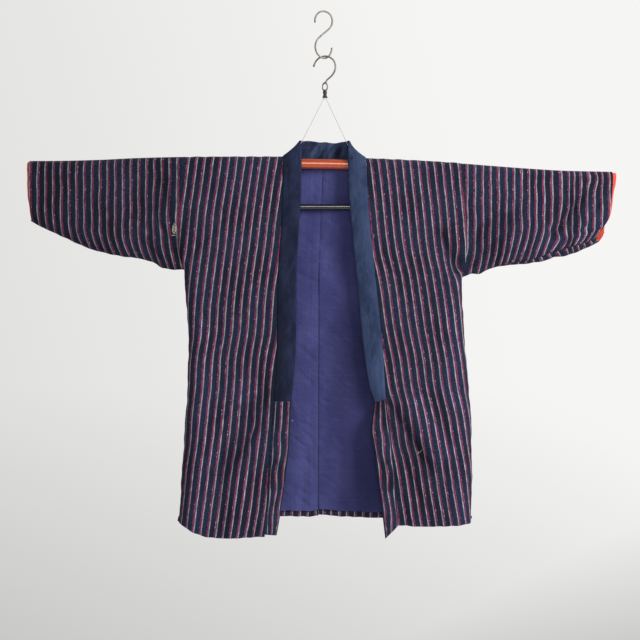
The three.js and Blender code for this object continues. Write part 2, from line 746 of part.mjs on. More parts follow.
function straightTube(from, to, radius, sides) {
  const geometry = new THREE.CylinderGeometry(radius, radius, from.distanceTo(to), sides);
  const up = new THREE.Vector3(0, 1, 0);
  const turn = new THREE.Quaternion().setFromUnitVectors(up, to.clone().sub(from).normalize());
  return geometry.applyQuaternion(turn).translate(...from.clone().add(to).multiplyScalar(0.5).toArray());
}

// From the bead's foot to the pole's top, each end just clear of its seat.
function upperCord(side) {
  const x = side.sign * CORD_OUT;
  const axis = new THREE.Vector3(x, 0, poleZ(x));
  const foot = new THREE.Vector3(EYE_X + side.sign * 1.6, 0, BEAD_FOOT_Z);
  const way = foot.clone().sub(axis).normalize();
  const from = axis.clone().addScaledVector(way, (POLE_RADIUS + 2 * SEAM_GAP) / way.z);
  const to = foot.clone().addScaledVector(way, -1.1);
  return straightTube(from, to, CORD_RADIUS, 8);
}

function lowerCord(side) {
  const x = side.sign * CORD_OUT;
  const from = new THREE.Vector3(x, 0, poleZ(x) - POLE_RADIUS - 2 * SEAM_GAP);
  const to = new THREE.Vector3(x, 0, SHOULDER_Z - BAR_DROP + BAR_RADIUS + SEAM_GAP);
  return straightTube(from, to, CORD_RADIUS, 8);
}

function barGeometry() {
  const end = (x) => new THREE.Vector3(x, 0, SHOULDER_Z - BAR_DROP);
  return straightTube(end(-BAR_HALF), end(BAR_HALF), BAR_RADIUS, 14);
}

// The hook's centreline as seen from the front, from its tip round to its eye.
const HOOK_LINE = [
  { x: -21, z: -111 },
  { x: -17.5, z: -103 },
  { x: -10.5, z: -95.8 },
  { x: 0, z: -92.6 },
  { x: 11, z: -95 },
  { x: 20, z: -102.5 },
  { x: 24, z: -113 },
  { x: 22.5, z: -125 },
  { x: 16, z: -135 },
  { x: 7.5, z: -142 },
  { x: 3, z: -148.4 },
];
// The S hook's centreline, from its upper tip to its lower one.
const S_LINE = [
  { x: -19, z: -24 },
  { x: -17.5, z: -12 },
  { x: -10.5, z: -1.8 },
  { x: 0, z: 1.8 },
  { x: 11, z: -1.8 },
  { x: 17, z: -11 },
  { x: 17, z: -23 },
  { x: 11.5, z: -33.5 },
  { x: -6, z: -50 },
  { x: -15, z: -61 },
  { x: -18, z: -74 },
  { x: -15, z: -86 },
  { x: -8, z: -94 },
  { x: 0, z: -96.8 },
  { x: 8.5, z: -93.5 },
  { x: 14.5, z: -84.5 },
  { x: 17, z: -73 },
];

// Turned about the line that the two hooks hang on, and as wide from the front as before.
function flatLine(line, turn) {
  const angle = THREE.MathUtils.degToRad(turn);
  return line.map(({ x, z }) => new THREE.Vector3(x, x * Math.tan(angle), z));
}

const wasm = await Module();
wasm.setup();

function toSolid(geometry) {
  const plain = geometry.clone();
  plain.deleteAttribute("normal");
  plain.deleteAttribute("uv");
  const merged = mergeVertices(plain, 1e-4);
  return new wasm.Manifold(
    new wasm.Mesh({
      numProp: 3,
      vertProperties: new Float32Array(merged.attributes.position.array),
      triVerts: new Uint32Array(merged.index.array),
    }),
  );
}

function fromSolid(solid) {
  const mesh = solid.getMesh();
  const geometry = new THREE.BufferGeometry();
  geometry.setAttribute("position", new THREE.BufferAttribute(mesh.vertProperties, 3));
  geometry.setIndex(new THREE.BufferAttribute(mesh.triVerts, 1));
  geometry.computeVertexNormals();
  return geometry;
}

// An oval ring of wire in the hook's own plane.
function eyeGeometry(wire) {
  const ring = new THREE.TorusGeometry(EYE_WIDE, wire, 8, 20);
  ring.scale(1, EYE_TALL / EYE_WIDE, 1).rotateX(Math.PI / 2);
  const y = EYE_X * Math.tan(THREE.MathUtils.degToRad(HOOK_TURN));
  return ring.rotateZ(THREE.MathUtils.degToRad(HOOK_TURN)).translate(EYE_X, y, EYE_Z);
}

function hookGeometry() {
  const wire = toSolid(tube(flatLine(HOOK_LINE, HOOK_TURN), WIRE, 8, 30));
  return fromSolid(wire.add(toSolid(eyeGeometry(1.4))));
}

// The bead's outline, radius and height above its foot; the eye passes through its head.
const BEAD_OUTLINE = [
  { radius: 0, up: 0 },
  { radius: 5.4, up: 0 },
  { radius: 5.6, up: 1.2 },
  { radius: 4, up: 4.6 },
  { radius: 3.3, up: 7 },
  { radius: 4.1, up: 8.6 },
  { radius: 4.4, up: 12 },
  { radius: 3.6, up: 15.6 },
  { radius: 1.8, up: 17.4 },
  { radius: 0, up: 17.8 },
];

function beadGeometry() {
  const outline = BEAD_OUTLINE.map(({ radius, up }) => new THREE.Vector2(radius, up));
  const body = new THREE.LatheGeometry(outline, 16);
  body.rotateX(Math.PI / 2).translate(EYE_X, 0, BEAD_FOOT_Z);
  return fromSolid(toSolid(body).subtract(toSolid(eyeGeometry(1.4 + SEAM_GAP))));
}

// ---- Materials and the whole ----
const finish = (color, roughness, metalness = 0) =>
  new THREE.MeshStandardMaterial({ color, roughness, metalness, side: THREE.DoubleSide });
const STRIPED = finish(0x232a42, 0.9);
const NAVY = finish(0x2c3a56, 0.85);
const PURPLE = finish(0x4a4a82, 0.85);
const RED = finish(0xd8503c, 0.85);
const LACQUER = finish(0xb4532a, 0.3);
const BLACK = finish(0x17181c, 0.3);
const CLEAR = finish(0xe8e6e0, 0.3);
const STEEL = finish(0xa39c94, 0.3, 1);

const jacket = new THREE.Group();
function add(name, geometry, material) {
  const mesh = new THREE.Mesh(geometry, material);
  mesh.name = name;
  jacket.add(mesh);
}

const rowsOf = { right: bodyRows(RIGHT), left: bodyRows(LEFT) };
for (const side of [RIGHT, LEFT]) {
  add(`body_${side.name}`, bodyGeometry(side, rowsOf[side.name]), STRIPED);
  add(`sleeve_${side.name}`, sleeveGeometry(side), STRIPED);
  add(`back_lining_${side.name}`, liningGeometry(side, rowsOf[side.name]), PURPLE);
  add(`cuff_lining_${side.name}`, cuffGeometry(side), RED);
  add(`collar_tail_${side.name}`, collarTailGeometry(side, rowsOf[side.name]), STRIPED);
  add(`upper_cord_${side.name}`, upperCord(side), CLEAR);
  add(`lower_cord_${side.name}`, lowerCord(side), CLEAR);
}
add("over_collar", overCollarGeometry(rowsOf.right, rowsOf.left), NAVY);
add("pole", poleGeometry(), LACQUER);
add("lower_bar", barGeometry(), BLACK);
add("bead", beadGeometry(), BLACK);
add("hanger_hook", hookGeometry(), STEEL);
add("s_hook", tube(flatLine(S_LINE, S_TURN), S_WIRE, 8, 38), STEEL);

export default jacket;
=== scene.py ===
"""A lined, striped hanten jacket on a lacquered pole hanger, dressed for a soft studio render."""
import math

import bpy
import numpy as np
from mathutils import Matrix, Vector


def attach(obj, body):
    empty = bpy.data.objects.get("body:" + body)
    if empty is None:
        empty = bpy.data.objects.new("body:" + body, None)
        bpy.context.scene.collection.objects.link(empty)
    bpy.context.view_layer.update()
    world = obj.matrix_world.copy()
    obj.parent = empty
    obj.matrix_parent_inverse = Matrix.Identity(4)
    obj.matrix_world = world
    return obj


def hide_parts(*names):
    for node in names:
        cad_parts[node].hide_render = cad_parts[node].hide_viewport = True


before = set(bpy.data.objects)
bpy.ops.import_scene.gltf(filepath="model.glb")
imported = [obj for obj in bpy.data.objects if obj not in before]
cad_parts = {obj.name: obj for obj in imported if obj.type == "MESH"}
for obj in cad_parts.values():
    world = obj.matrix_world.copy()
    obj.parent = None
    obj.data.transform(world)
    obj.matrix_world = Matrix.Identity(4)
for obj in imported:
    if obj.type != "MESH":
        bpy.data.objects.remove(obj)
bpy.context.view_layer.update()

# ---- Sizes in millimetres, as in the solids ----
MM = 0.001
SHOULDER_Z = -304
GARMENT_X = 3.4
CLOTH = 2.2
LINING = 1.2
SEAM_GAP = 0.3
POLE_RADIUS = 10.5
REST_GAP = 0.6
BAR_RADIUS = 5
BAR_GROWTH = 1  # how much thicker, downwards, the photo shows it than the solid is
HEM_TURN = 8
HEM_DROP = 780
HEM_CURVE_FROM = 600
EDGE_ROUND = 24
OVER_COLLAR_END = 512
CUFF_BAND = 44
COLLAR_THICKNESS = 4.4
OUTSIDE = CLOTH / 2
LINED_INSIDE = CLOTH / 2 + SEAM_GAP + LINING
BARE_INSIDE = 0.3  # thinner where a lining lies behind the wall as a piece of its own
FOLD_RADIUS = POLE_RADIUS + REST_GAP + LINED_INSIDE
PITCH = 16.3  # from one white line to the next
FRONT, BACK = -1, 1


def curve(*rows):
    """A smooth curve through (at, value) rows that never overshoots them."""
    x, y = np.array(rows, float).T
    step = np.diff(x)
    slope = np.diff(y) / step
    product, total = slope[:-1] * slope[1:], slope[:-1] + slope[1:]
    inner = np.where(product > 0, 2 * product / np.where(total == 0, 1, total), 0)
    tangent = np.concatenate([slope[:1], inner, slope[-1:]])

    def value(at):
        at = np.clip(at, x[0], x[-1])
        i = np.clip(np.searchsorted(x, at, side="right") - 1, 0, len(x) - 2)
        t = (at - x[i]) / step[i]
        return (
            (1 + 2 * t) * (1 - t) ** 2 * y[i]
            + t * (1 - t) ** 2 * step[i] * tangent[i]
            + t * t * (3 - 2 * t) * y[i + 1]
            + t * t * (t - 1) * step[i] * tangent[i + 1]
        )

    return value


def smooth(t):
    t = np.clip(t, 0, 1)
    return t * t * (3 - 2 * t)


def mix(a, b, t):
    return a + (b - a) * t


SHOULDER_LINE = curve(
    (-640, 9.6), (-572, 9.4), (-478, 7.2), (-400, 3.4), (-300, 1), (-180, 0.2), (-90, 0.2),
    (0, 1.2), (90, 3.8), (180, 7.6), (260, 12.4), (341, 19), (425, 25.4), (507, 30.2), (640, 33),
)
BACK_SEAM = curve((0, -3), (149, -10.5), (258, -13.6), (740, -15))
FRONT_DEPTH = curve((0, FOLD_RADIUS), (60, 14.2), (250, 16.5), (500, 18.5), (800, 20))
BACK_DEPTH = curve((0, FOLD_RADIUS), (60, 14), (400, 15), (800, 16))
NOWHERE = curve((0, 0), (1, 0))


class Half:
    """One half of the garment. Widths are out from the middle, drops are below the shoulder."""

    def __init__(self, **facts):
        self.__dict__.update(facts)

    def shoulder(self, out):
        return SHOULDER_LINE(self.sign * out)

    def outer(self, drop):
        uneven = 0.6 * np.sin(drop / 6.1 + self.sign) * np.sin(drop / 29) + 0.6 * np.sin(drop / 17)
        side = self.side_seam(drop) + uneven * smooth((drop - self.armpit) / 20)
        return np.where(drop < self.armpit, self.armhole(drop), side)

    def at(self, out, y, drop):
        out, y, drop = np.broadcast_arrays(out, y, drop)
        x = GARMENT_X + self.sign * out
        return np.stack([x, y, SHOULDER_Z - drop], -1).astype(float)


# A fold or crease: the ends of its line as (out, drop), its height (minus for a trough) and
# its width. The folds are the solids' own, the creases are finer.
RIGHT = Half(
    name="right",
    sign=-1,
    armpit=236,
    neck_shift=0,
    neck_hollow=2,
    armhole=curve((0, 299), (50, 302), (100, 305), (160, 308.5), (193, 308), (236, 296)),
    side_seam=curve(
        (236, 296), (262, 296), (370, 288), (468, 289.5), (558, 295), (708, 304.5), (790, 309)
    ),
    underarm=curve(
        (296, 236), (316, 236), (341, 232), (360, 221), (395, 212), (430, 207), (478, 197),
        (521, 180), (569, 158), (625, 130),
    ),
    cuff={
        FRONT: curve((5, 621), (60, 620.5), (132, 616.5)),
        BACK: curve((5, 622), (60, 622), (132, 619)),
    },
    cuff_lining=curve((20, 3.6), (84, 3.2), (102, 1.4), (132, 0.9)),
    hem={
        FRONT: curve((100, 791), (140, 795), (200, 798), (243, 796), (273, 787), (290, 777), (310, 765)),
        BACK: curve((0, 753), (40, 757), (200, 758), (310, 765)),
    },
    front_edge=curve(
        (0, 90.5), (55, 90.5), (157, 93.7), (258, 100.5), (407, 102.5), (512, 109.4),
        (594, 115.5), (670, 120.8), (800, 128),
    ),
    free_edge=curve(
        (0, 50), (92, 51.9), (157, 56.5), (258, 60.7), (407, 62.8), (512, 71.8), (596, 76),
        (670, 85), (757, 98.2), (800, 107),
    ),
    free_turn=curve(
        (0, 0), (92, 1), (157, 4), (258, 6), (407, 6), (512, 8), (596, 8), (670, 12), (757, 15),
        (800, 16),
    ),
    tail_end=(790, 794),
    tail_wide=0.04,
    tail_lines=(0.16, 0.52, 0.9),
    folds={
        FRONT: [
            ((331, 44), (362, 115), -4, 17), ((366, 100), (362, 214), -3, 14),
            ((432, 25), (412, 186), 3, 24), ((318, 205), (286, 110), -4, 16),
            ((123, 483), (223, 672), -5, 22), ((160, 470), (250, 640), 4, 26),
            ((255, 300), (262, 800), 4, 26), ((165, 640), (172, 820), 4, 20),
        ],
        BACK: [
            ((290, 225), (190, 120), -4, 22), ((220, 330), (238, 800), 5, 30),
            ((90, 430), (96, 800), 4, 28), ((340, 60), (372, 205), -4, 18),
            ((470, 30), (452, 190), 3, 26),
        ],
    },
    creases={
        FRONT: [
            ((300, 226), (352, 128), -2.2, 6), ((306, 214), (330, 92), -1.6, 7),
            ((330, 96), (352, 40), -1.4, 8), ((345, 216), (398, 166), -1.8, 6),
            ((352, 186), (366, 96), 1.5, 9), ((398, 196), (430, 128), -1.2, 7),
            ((452, 186), (470, 120), -1.1, 7), ((522, 164), (548, 96), -1.1, 8),
            ((560, 140), (592, 86), -1.3, 6), ((588, 40), (606, 104), -1, 9),
            ((286, 216), (206, 126), -1.7, 9), ((284, 250), (226, 196), -1.2, 8),
            ((286, 300), (222, 372), -1.2, 11), ((124, 498), (236, 590), -2.2, 9),
            ((128, 548), (196, 640), -1.6, 8), ((150, 512), (254, 560), -1.5, 9),
            ((120, 455), (176, 492), -1.2, 8), ((262, 560), (281, 790), 2, 10),
            ((214, 604), (220, 800), -1.8, 10), ((190, 650), (196, 800), 1.6, 9),
            ((160, 640), (150, 800), -1.5, 9), ((108, 120), (168, 210), -0.9, 12),
            ((250, 30), (236, 120), -0.9, 12),
        ],
        BACK: [
            ((292, 236), (214, 150), -2, 8), ((300, 222), (352, 130), -2, 7),
            ((282, 270), (206, 250), -1.3, 9), ((60, 40), (110, 190), -1.2, 14),
            ((250, 560), (266, 770), 2, 11), ((150, 520), (160, 770), -1.8, 13),
            ((40, 600), (52, 770), 1.6, 11), ((360, 206), (408, 150), -1.6, 7),
            ((440, 200), (470, 110), -1.3, 8), ((540, 160), (566, 80), -1.3, 8),
        ],
    },
    # Where the stripes run: how far a line has moved out at each drop, where one of them
    # is at the armpit's height, and how wide apart they are.
    lean=curve(
        (0, -34), (17, -31.5), (76, -23), (134, -14.7), (193, -8.4), (252, 0), (311, 6.3),
        (370, 10.5), (429, 18.9), (488, 23.1), (546, 29.4), (605, 35.7), (664, 44.1),
        (723, 50.4), (800, 60.5),
    ),
    line_out=200.8,
    spread=curve((0, 1.02), (252, 1), (800, 0.955)),
    sleeve_line=489.2,
    sleeve_spread=0.996,
    sleeve_shift=NOWHERE,
    sleeve_lean=curve((300, -9), (340, -15), (500, -13), (528, -9), (560, -4), (640, -2)),
    sleeve_reach=curve((300, 60), (345, 60), (380, 46), (640, 40)),
    rolled=NOWHERE,
    jogs=[  # out, drop, shift and reach each way
        (337, 118, 6, 24, 46),
        (170, 600, -2.5, 60, 110),
        (150, 552, -2, 9, 20),
        (152, 594, 4, 9, 20),
        (115, 470, 3.5, 22, 60),
        (146, 725, -3, 26, 70),
    ],
    end_slant=0,
)
LEFT = Half(
    name="left",
    sign=1,
    armpit=252,
    neck_shift=-3.5,
    neck_hollow=5,
    armhole=curve((0, 290), (60, 291.5), (150, 294.5), (215, 294), (252, 286)),
    side_seam=curve((252, 286), (334, 289), (439, 296.7), (558, 306), (689, 307.6), (790, 304)),
    underarm=curve(
        (286, 252), (296, 248.5), (308, 244.5), (322, 245), (333, 239.5), (345, 233), (358, 230),
        (385, 226.5), (408, 224.5), (437, 220.6), (459, 217.4), (469, 214.3), (478, 209.5),
        (500, 207.5), (512, 203.5), (532, 196.5), (553, 187), (563, 181), (570, 174), (590, 166),
        (625, 158),
    ),
    cuff={
        FRONT: curve(
            (28, 601.5), (60, 600.5), (95, 597.5), (116, 595.5), (128, 592.5), (141, 586),
            (149, 580), (157, 573), (166, 569), (185, 566),
        ),
        BACK: curve(
            (28, 603), (95, 600), (128, 594.5), (141, 588.5), (151, 586.5), (162, 586),
            (170, 581), (178, 574), (185, 569),
        ),
    },
    cuff_lining=curve((28, 7), (56, 6.8), (72, 4), (95, 3), (116, 2.4), (140, 1.8), (185, 2)),
    hem={
        FRONT: curve((120, 774), (150, 771), (220, 774), (310, 768)),
        BACK: curve((0, 753), (40, 758), (200, 762), (310, 768)),
    },
    front_edge=curve(
        (0, 86), (55, 88), (147, 94), (258, 105.4), (352, 115.5), (445, 123), (512, 127),
        (594, 137.5), (657, 143.5), (780, 150.5),
    ),
    free_edge=curve(
        (0, 47), (60, 48), (104, 51), (200, 59.6), (258, 66), (390, 78), (483, 93.5), (512, 103.5),
        (530, 101), (569, 94), (600, 100), (657, 107), (700, 114), (744, 119.5), (780, 124),
    ),
    free_turn=curve(
        (0, 0), (60, 0), (104, 2), (200, 5), (258, 7), (390, 9), (483, 14), (512, 15),
        (565, -4), (657, -8), (780, -12),
    ),
    tail_end=(772, 797),
    tail_wide=0.036,
    tail_lines=(0.12, 0.5, 0.9),
    folds={
        FRONT: [
            ((287, 242), (366, 122), -5, 18), ((408, 100), (341, 220), -4, 15),
            ((541, 90), (467, 170), -4, 14), ((570, 120), (520, 185), 3, 14),
            ((460, 40), (436, 190), 3, 24), ((277, 240), (231, 150), -4, 16),
            ((135, 520), (215, 670), -6, 22), ((170, 500), (245, 640), 5, 26),
            ((258, 330), (272, 800), 4, 28),
        ],
        BACK: [
            ((282, 240), (180, 130), -4, 22), ((205, 350), (226, 800), 5, 30),
            ((78, 480), (84, 800), 4, 26), ((330, 70), (365, 215), -4, 18),
            ((480, 50), (470, 190), 3, 24),
        ],
    },
    creases={
        FRONT: [
            ((290, 244), (362, 166), -2.2, 6), ((296, 232), (326, 140), -1.8, 6),
            ((316, 240), (392, 196), -1.8, 6), ((376, 122), (318, 216), -1.5, 8),
            ((478, 92), (412, 214), -2.2, 8), ((440, 120), (388, 222), -1.3, 8),
            ((541, 80), (470, 168), -2.6, 6), ((530, 122), (498, 190), -2, 6),
            ((572, 100), (540, 150), -2.2, 6), ((548, 130), (516, 196), 2, 6),
            ((586, 60), (566, 110), -1.6, 8), ((500, 70), (520, 112), -1.2, 8),
            ((560, 42), (548, 86), 1.2, 8), ((276, 246), (236, 158), -2, 8),
            ((268, 290), (218, 236), -1.2, 9), ((127, 512), (220, 656), -2.6, 9),
            ((136, 570), (202, 722), -2, 8), ((152, 650), (190, 780), 1.8, 9),
            ((222, 500), (280, 660), -1.6, 11), ((248, 640), (256, 780), -1.7, 10),
            ((118, 190), (160, 290), -1.2, 10), ((112, 300), (146, 372), -0.9, 9),
        ],
        BACK: [
            ((280, 248), (206, 166), -2, 8), ((300, 232), (356, 146), -2, 7),
            ((70, 40), (120, 200), -1.2, 14), ((248, 570), (262, 770), 2, 11),
            ((140, 540), (152, 770), -1.8, 13), ((30, 620), (38, 770), 1.6, 11),
            ((400, 210), (436, 120), -1.6, 7), ((500, 180), (536, 90), -1.5, 8),
            ((560, 160), (580, 90), -1.3, 8),
        ],
    },
    lean=curve(
        (0, -34.5), (17, -31.5), (76, -25.2), (134, -18.9), (193, -12.6), (252, 0), (311, 8.4),
        (370, 16.8), (429, 27.3), (488, 35.7), (546, 48.3), (605, 58.8), (664, 69.3),
        (723, 77.7), (800, 90.8),
    ),
    line_out=192.15,
    spread=curve((0, 1.018), (252, 1), (488, 0.972), (800, 0.965)),
    sleeve_line=380.3,
    sleeve_spread=0.98,
    sleeve_shift=curve(
        (300, -3), (350, -2), (372, -1), (420, -1.5), (440, -3), (465, -2.5), (485, 0), (503, 3),
        (522, -4), (540, -7.5), (560, -9.5), (620, -9.5),
    ),
    sleeve_lean=curve((300, -9), (350, -12), (420, -20), (480, -18), (620, -17)),
    sleeve_reach=curve((300, 50), (400, 75), (460, 60), (500, 26), (620, 22)),
    rolled=curve(  # how much of the back rolls up below the front's lower edge
        (370, 0), (385, 3), (427, 6), (448, 9.5), (465, 12), (480, 10), (501, 15), (521, 14.5),
        (542, 11.5), (557, 10.5), (600, 10),
    ),
    jogs=[
        (484, 149, -4, 9, 14),
        (499.5, 140, -7.5, 9, 22),
        (516, 138, -5, 9, 28),
        (532, 111, -3, 8, 14),
        (500, 162, -5, 26, 14),
        (544.5, 153, -4, 8, 8),
        (470, 153, -4, 8, 8),
        (533, 158, -3, 8, 10),
        (556, 48, 7, 8, 22),
        (569.5, 48, 6, 8, 22),
        (539, 58, 3, 8, 24),
        (276, 226, -11, 20, 24),
        (140, 520, 3, 30, 20),
        (170, 600, -3, 30, 24),
    ],
    end_slant=4.5,
)
HALVES = (RIGHT, LEFT)


# ---- The garment's form ----
def parted(from_edge):
    """How open two layers are at a distance in from the edge that joins them."""
    return np.sqrt(1 - (1 - np.clip(from_edge / EDGE_ROUND, 0, 1)) ** 2)


def from_closed_edge(half, out, drop):
    """How far in each place is from the edge that joins front and back."""
    near_armpit = np.hypot(np.maximum(0, half.armhole(drop) - out), half.armpit - drop)
    below = half.outer(drop) - out
    on_sleeve = half.underarm(out) - drop
    above = np.where(out > half.armhole(drop), on_sleeve, near_armpit)
    return np.where(drop >= half.armpit, below, above)


def raised(rows, out, drop):
    """The summed height of the folds or creases at each place."""
    total = np.zeros(np.broadcast(out, drop).shape)
    for start, end, height, width in rows:
        along = np.subtract(end, start)
        length = math.hypot(*along)
        d_out, d_drop = out - start[0], drop - start[1]
        t = (d_out * along[0] + d_drop * along[1]) / length**2
        across = (d_out * along[1] - d_drop * along[0]) / length
        swell = smooth(t / 0.25 + 0.5) * smooth((1 - t) / 0.25 + 0.5)
        total += height * swell * np.exp(-((across / width) ** 2))
    return total


def ripple(half, face, out, drop):
    """The cloth's own slight unevenness."""
    a = np.sin(out / 31 + 1.7 * np.sin(drop / 83 + half.sign) + face)
    b = np.sin(drop / 47 + 1.3 * np.sin(out / 59 + face) + 2 * half.sign)
    c = np.sin((out + 0.6 * drop) / 19 + half.sign) * np.sin((drop - 0.5 * out) / 37 + face)
    return 0.7 * a * b + 0.35 * c


def relief(half, face, out, drop, from_edge):
    """The height of the folds and creases at each place."""
    fade = parted(from_edge) ** 2 * smooth((drop - half.shoulder(out) - FOLD_RADIUS) / 40)
    creases = 1.45 * raised(half.creases[face], out, drop)
    return fade * (raised(half.folds[face], out, drop) + creases)


def seam_dip(half, out, drop):
    """How deep the armhole seam pulls the cloth in."""
    return 1.1 * np.exp(-(((out - half.armhole(drop)) / 3.2) ** 2))


def layer_y(half, face, out, drop, from_edge):
    """How far a layer stands from the mid plane, signed: negative for the front."""
    below = drop - half.shoulder(out)
    body = (FRONT_DEPTH if face == FRONT else BACK_DEPTH)(below)
    sleeve = FOLD_RADIUS + 0.8 * smooth(below / 60)
    depth = mix(body, sleeve, smooth((out - half.armhole(drop) + 20) / 80))
    is_open = parted(from_edge)
    fade = is_open**2 * smooth((below - FOLD_RADIUS) / 40)
    seam = seam_dip(half, out, drop) * (drop < half.armpit)
    fine = fade * (1.3 * ripple(half, face, out, drop) - seam)
    return face * (depth * is_open + relief(half, face, out, drop, from_edge) + fine)


def bent_drop(half, face, out, drop):
    """A row's real drop: bent above to the shoulder and below to the hem."""
    flat_end = half.armpit - EDGE_ROUND
    to_shoulder = half.shoulder(out) * (flat_end - drop) / (flat_end - FOLD_RADIUS)
    share = (drop - HEM_CURVE_FROM) / (HEM_DROP - HEM_CURVE_FROM)
    uneven = 0.6 * np.sin(out / 4.3) * np.sin(out / 33) + 0.5 * np.sin(out / 14 + half.sign)
    to_hem = mix(HEM_CURVE_FROM, half.hem[face](out) + uneven, share)
    return np.where(drop < flat_end, drop + to_shoulder, np.where(share > 0, to_hem, drop))


def line_at(half, out, drop, face):
    """The place across the stripes, in millimetres of cloth."""
    at = drop if face == FRONT else half.shoulder(out)
    jog = sum_of_jogs(half, out, drop) if face == FRONT else 3 * smooth(drop / 700)
    waver = 0.5 * np.sin(drop / 23 + out / 71) * np.sin(drop / 61 - out / 37)
    return (out - half.line_out - half.lean(at) - jog - waver) / half.spread(at)


def sum_of_jogs(half, out, drop):
    """How far the stripes are pushed out where a crease pulls them."""
    total = 0
    for at_out, at_drop, shift, reach_out, reach_drop in half.jogs:
        total = total + shift * np.exp(
            -(((out - at_out) / reach_out) ** 2) - ((drop - at_drop) / reach_drop) ** 2
        )
    return total


# ---- Meshes ----
class Sheet:
    """Rows of points with a place on the cloth for each, made into one closed wall.

    beyond holds the points past the last column, which its slope is taken to. square says
    which parts of the normals are left out, so that an end or edge is cut square."""

    def __init__(self, points, cloth, ring=False, sign=-1, beyond=None, square=None, heights=None):
        self.points, self.cloth, self.ring, self.sign = points, cloth, ring, sign
        # The relief values steer painted shade where they are below zero and painted light where they are
        # above it.
        self.heights = np.zeros(points.shape[:2]) if heights is None else heights
        if ring:
            around = np.concatenate([points[:, -1:], points, points[:, :1]], 1)
        else:
            last = points[:, -1:] if beyond is None else beyond[:, None]
            around = np.concatenate([points[:, :1], points, last], 1)
        rows = np.concatenate([points[:1], points, points[-1:]], 0)
        down = rows[2:] - rows[:-2]
        across = around[:, 2:] - around[:, :-2]
        normal = np.cross(down, across) * -sign
        if square is not None:
            normal = np.where(square, 0, normal)
        self.normal = normal / np.maximum(np.linalg.norm(normal, axis=-1, keepdims=True), 1e-9)

    def build(self, name, outer, inner, materials, slots=(0, 0, 0)):
        """slots are the material of the outer face, the inner face and the rims; the inner
        one may be an array with one for each row."""
        rows, columns = self.points.shape[:2]
        outer = np.broadcast_to(outer, (rows, columns))[..., None]
        inner = np.broadcast_to(inner, (rows, columns))[..., None]
        shells = [self.points + self.normal * outer, self.points - self.normal * inner]
        vertices = np.concatenate([s.reshape(-1, 3) for s in shells]) * MM
        spans = columns if self.ring else columns - 1
        i, j = np.meshgrid(np.arange(rows - 1), np.arange(spans), indexing="ij")
        i, j = i.ravel(), j.ravel()
        after = (j + 1) % columns
        base = rows * columns
        a, b = i * columns + j, (i + 1) * columns + j
        c, d = (i + 1) * columns + after, i * columns + after
        faces = [np.stack([a, b, c, d], 1), np.stack([a, d, c, b], 1) + base]
        places = [(i, j), (i + 1, j), (i + 1, j + 1), (i, j + 1)]
        corners = [places, [places[0], places[3], places[2], places[1]]]
        inner_slot = np.broadcast_to(slots[1], (rows,))
        kinds = [np.full(len(a), slots[0]), inner_slot[i]]

        def rim(first, second, at_first, at_second, flip):
            quad = np.stack([first, second, second + base, first + base], 1)
            order = [at_first, at_second, at_second, at_first]
            faces.append(quad[:, ::-1] if flip else quad)
            corners.append(order[::-1] if flip else order)
            kinds.append(np.full(len(first), slots[2]))

        j = np.arange(spans)
        after = (j + 1) % columns
        end = rows - 1
        zero = np.zeros_like(j)
        rim(after, j, (zero, j + 1), (zero, j), False)
        rim(end * columns + j, end * columns + after, (zero + end, j), (zero + end, j + 1), False)
        if not self.ring:
            i = np.arange(rows - 1)
            zero, last = np.zeros_like(i), np.full_like(i, columns - 1)
            rim(i * columns, (i + 1) * columns, (i, zero), (i + 1, zero), False)
            rim((i + 1) * columns + last, i * columns + last, (i + 1, last), (i, last), False)
        faces = np.concatenate(faces)
        if self.sign > 0:
            faces = faces[:, ::-1]
            corners = [c[::-1] for c in corners]
        mesh = bpy.data.meshes.new(name)
        mesh.from_pydata(vertices.tolist(), [], faces.tolist())
        uv = np.concatenate(
            [np.stack([self.cloth[p] for p in group], 1) for group in corners]
        ).reshape(-1, 2)
        layer = mesh.uv_layers.new(name="Cloth")
        layer.data.foreach_set("uv", (uv * MM).astype(np.float32).ravel())
        # Carried on the mesh for the striped cloth's painted shade and painted light.
        heights = np.tile(self.heights.ravel(), 2).astype(np.float32)
        mesh.attributes.new("PaintedShadeRelief", "FLOAT", "POINT").data.foreach_set("value", heights)
        for material in materials:
            mesh.materials.append(material)
        mesh.polygons.foreach_set("material_index", np.concatenate(kinds).astype(np.int32))
        return finished(name, mesh)


def finished(name, mesh, angle=50):
    """The mesh as an object in the scene, smooth but for edges sharper than the angle."""
    mesh.polygons.foreach_set("use_smooth", [True] * len(mesh.polygons))
    mesh.set_sharp_from_angle(angle=math.radians(angle))
    mesh.update()
    piece = bpy.data.objects.new(name, mesh)
    bpy.context.scene.collection.objects.link(piece)
    return piece


def closing(fine, coarse, steps):
    """Steps from coarse down to fine, for points that crowd towards an edge."""
    return fine + (coarse - fine) * (1 - np.linspace(0, 1, steps)) ** 1.8


def thinned(from_end, reach=1.6, by=0.9):
    """A wall's thickness towards its end, as a share of the full thickness."""
    return np.sqrt(1 - np.clip(1 - from_end / reach, 0, 1) ** 2 * by)


# ---- The body ----
INNER_STEPS = 58
EDGE_STEPS = 22
EDGE_PART = 28  # the width beside the armhole or side seam where the columns crowd together


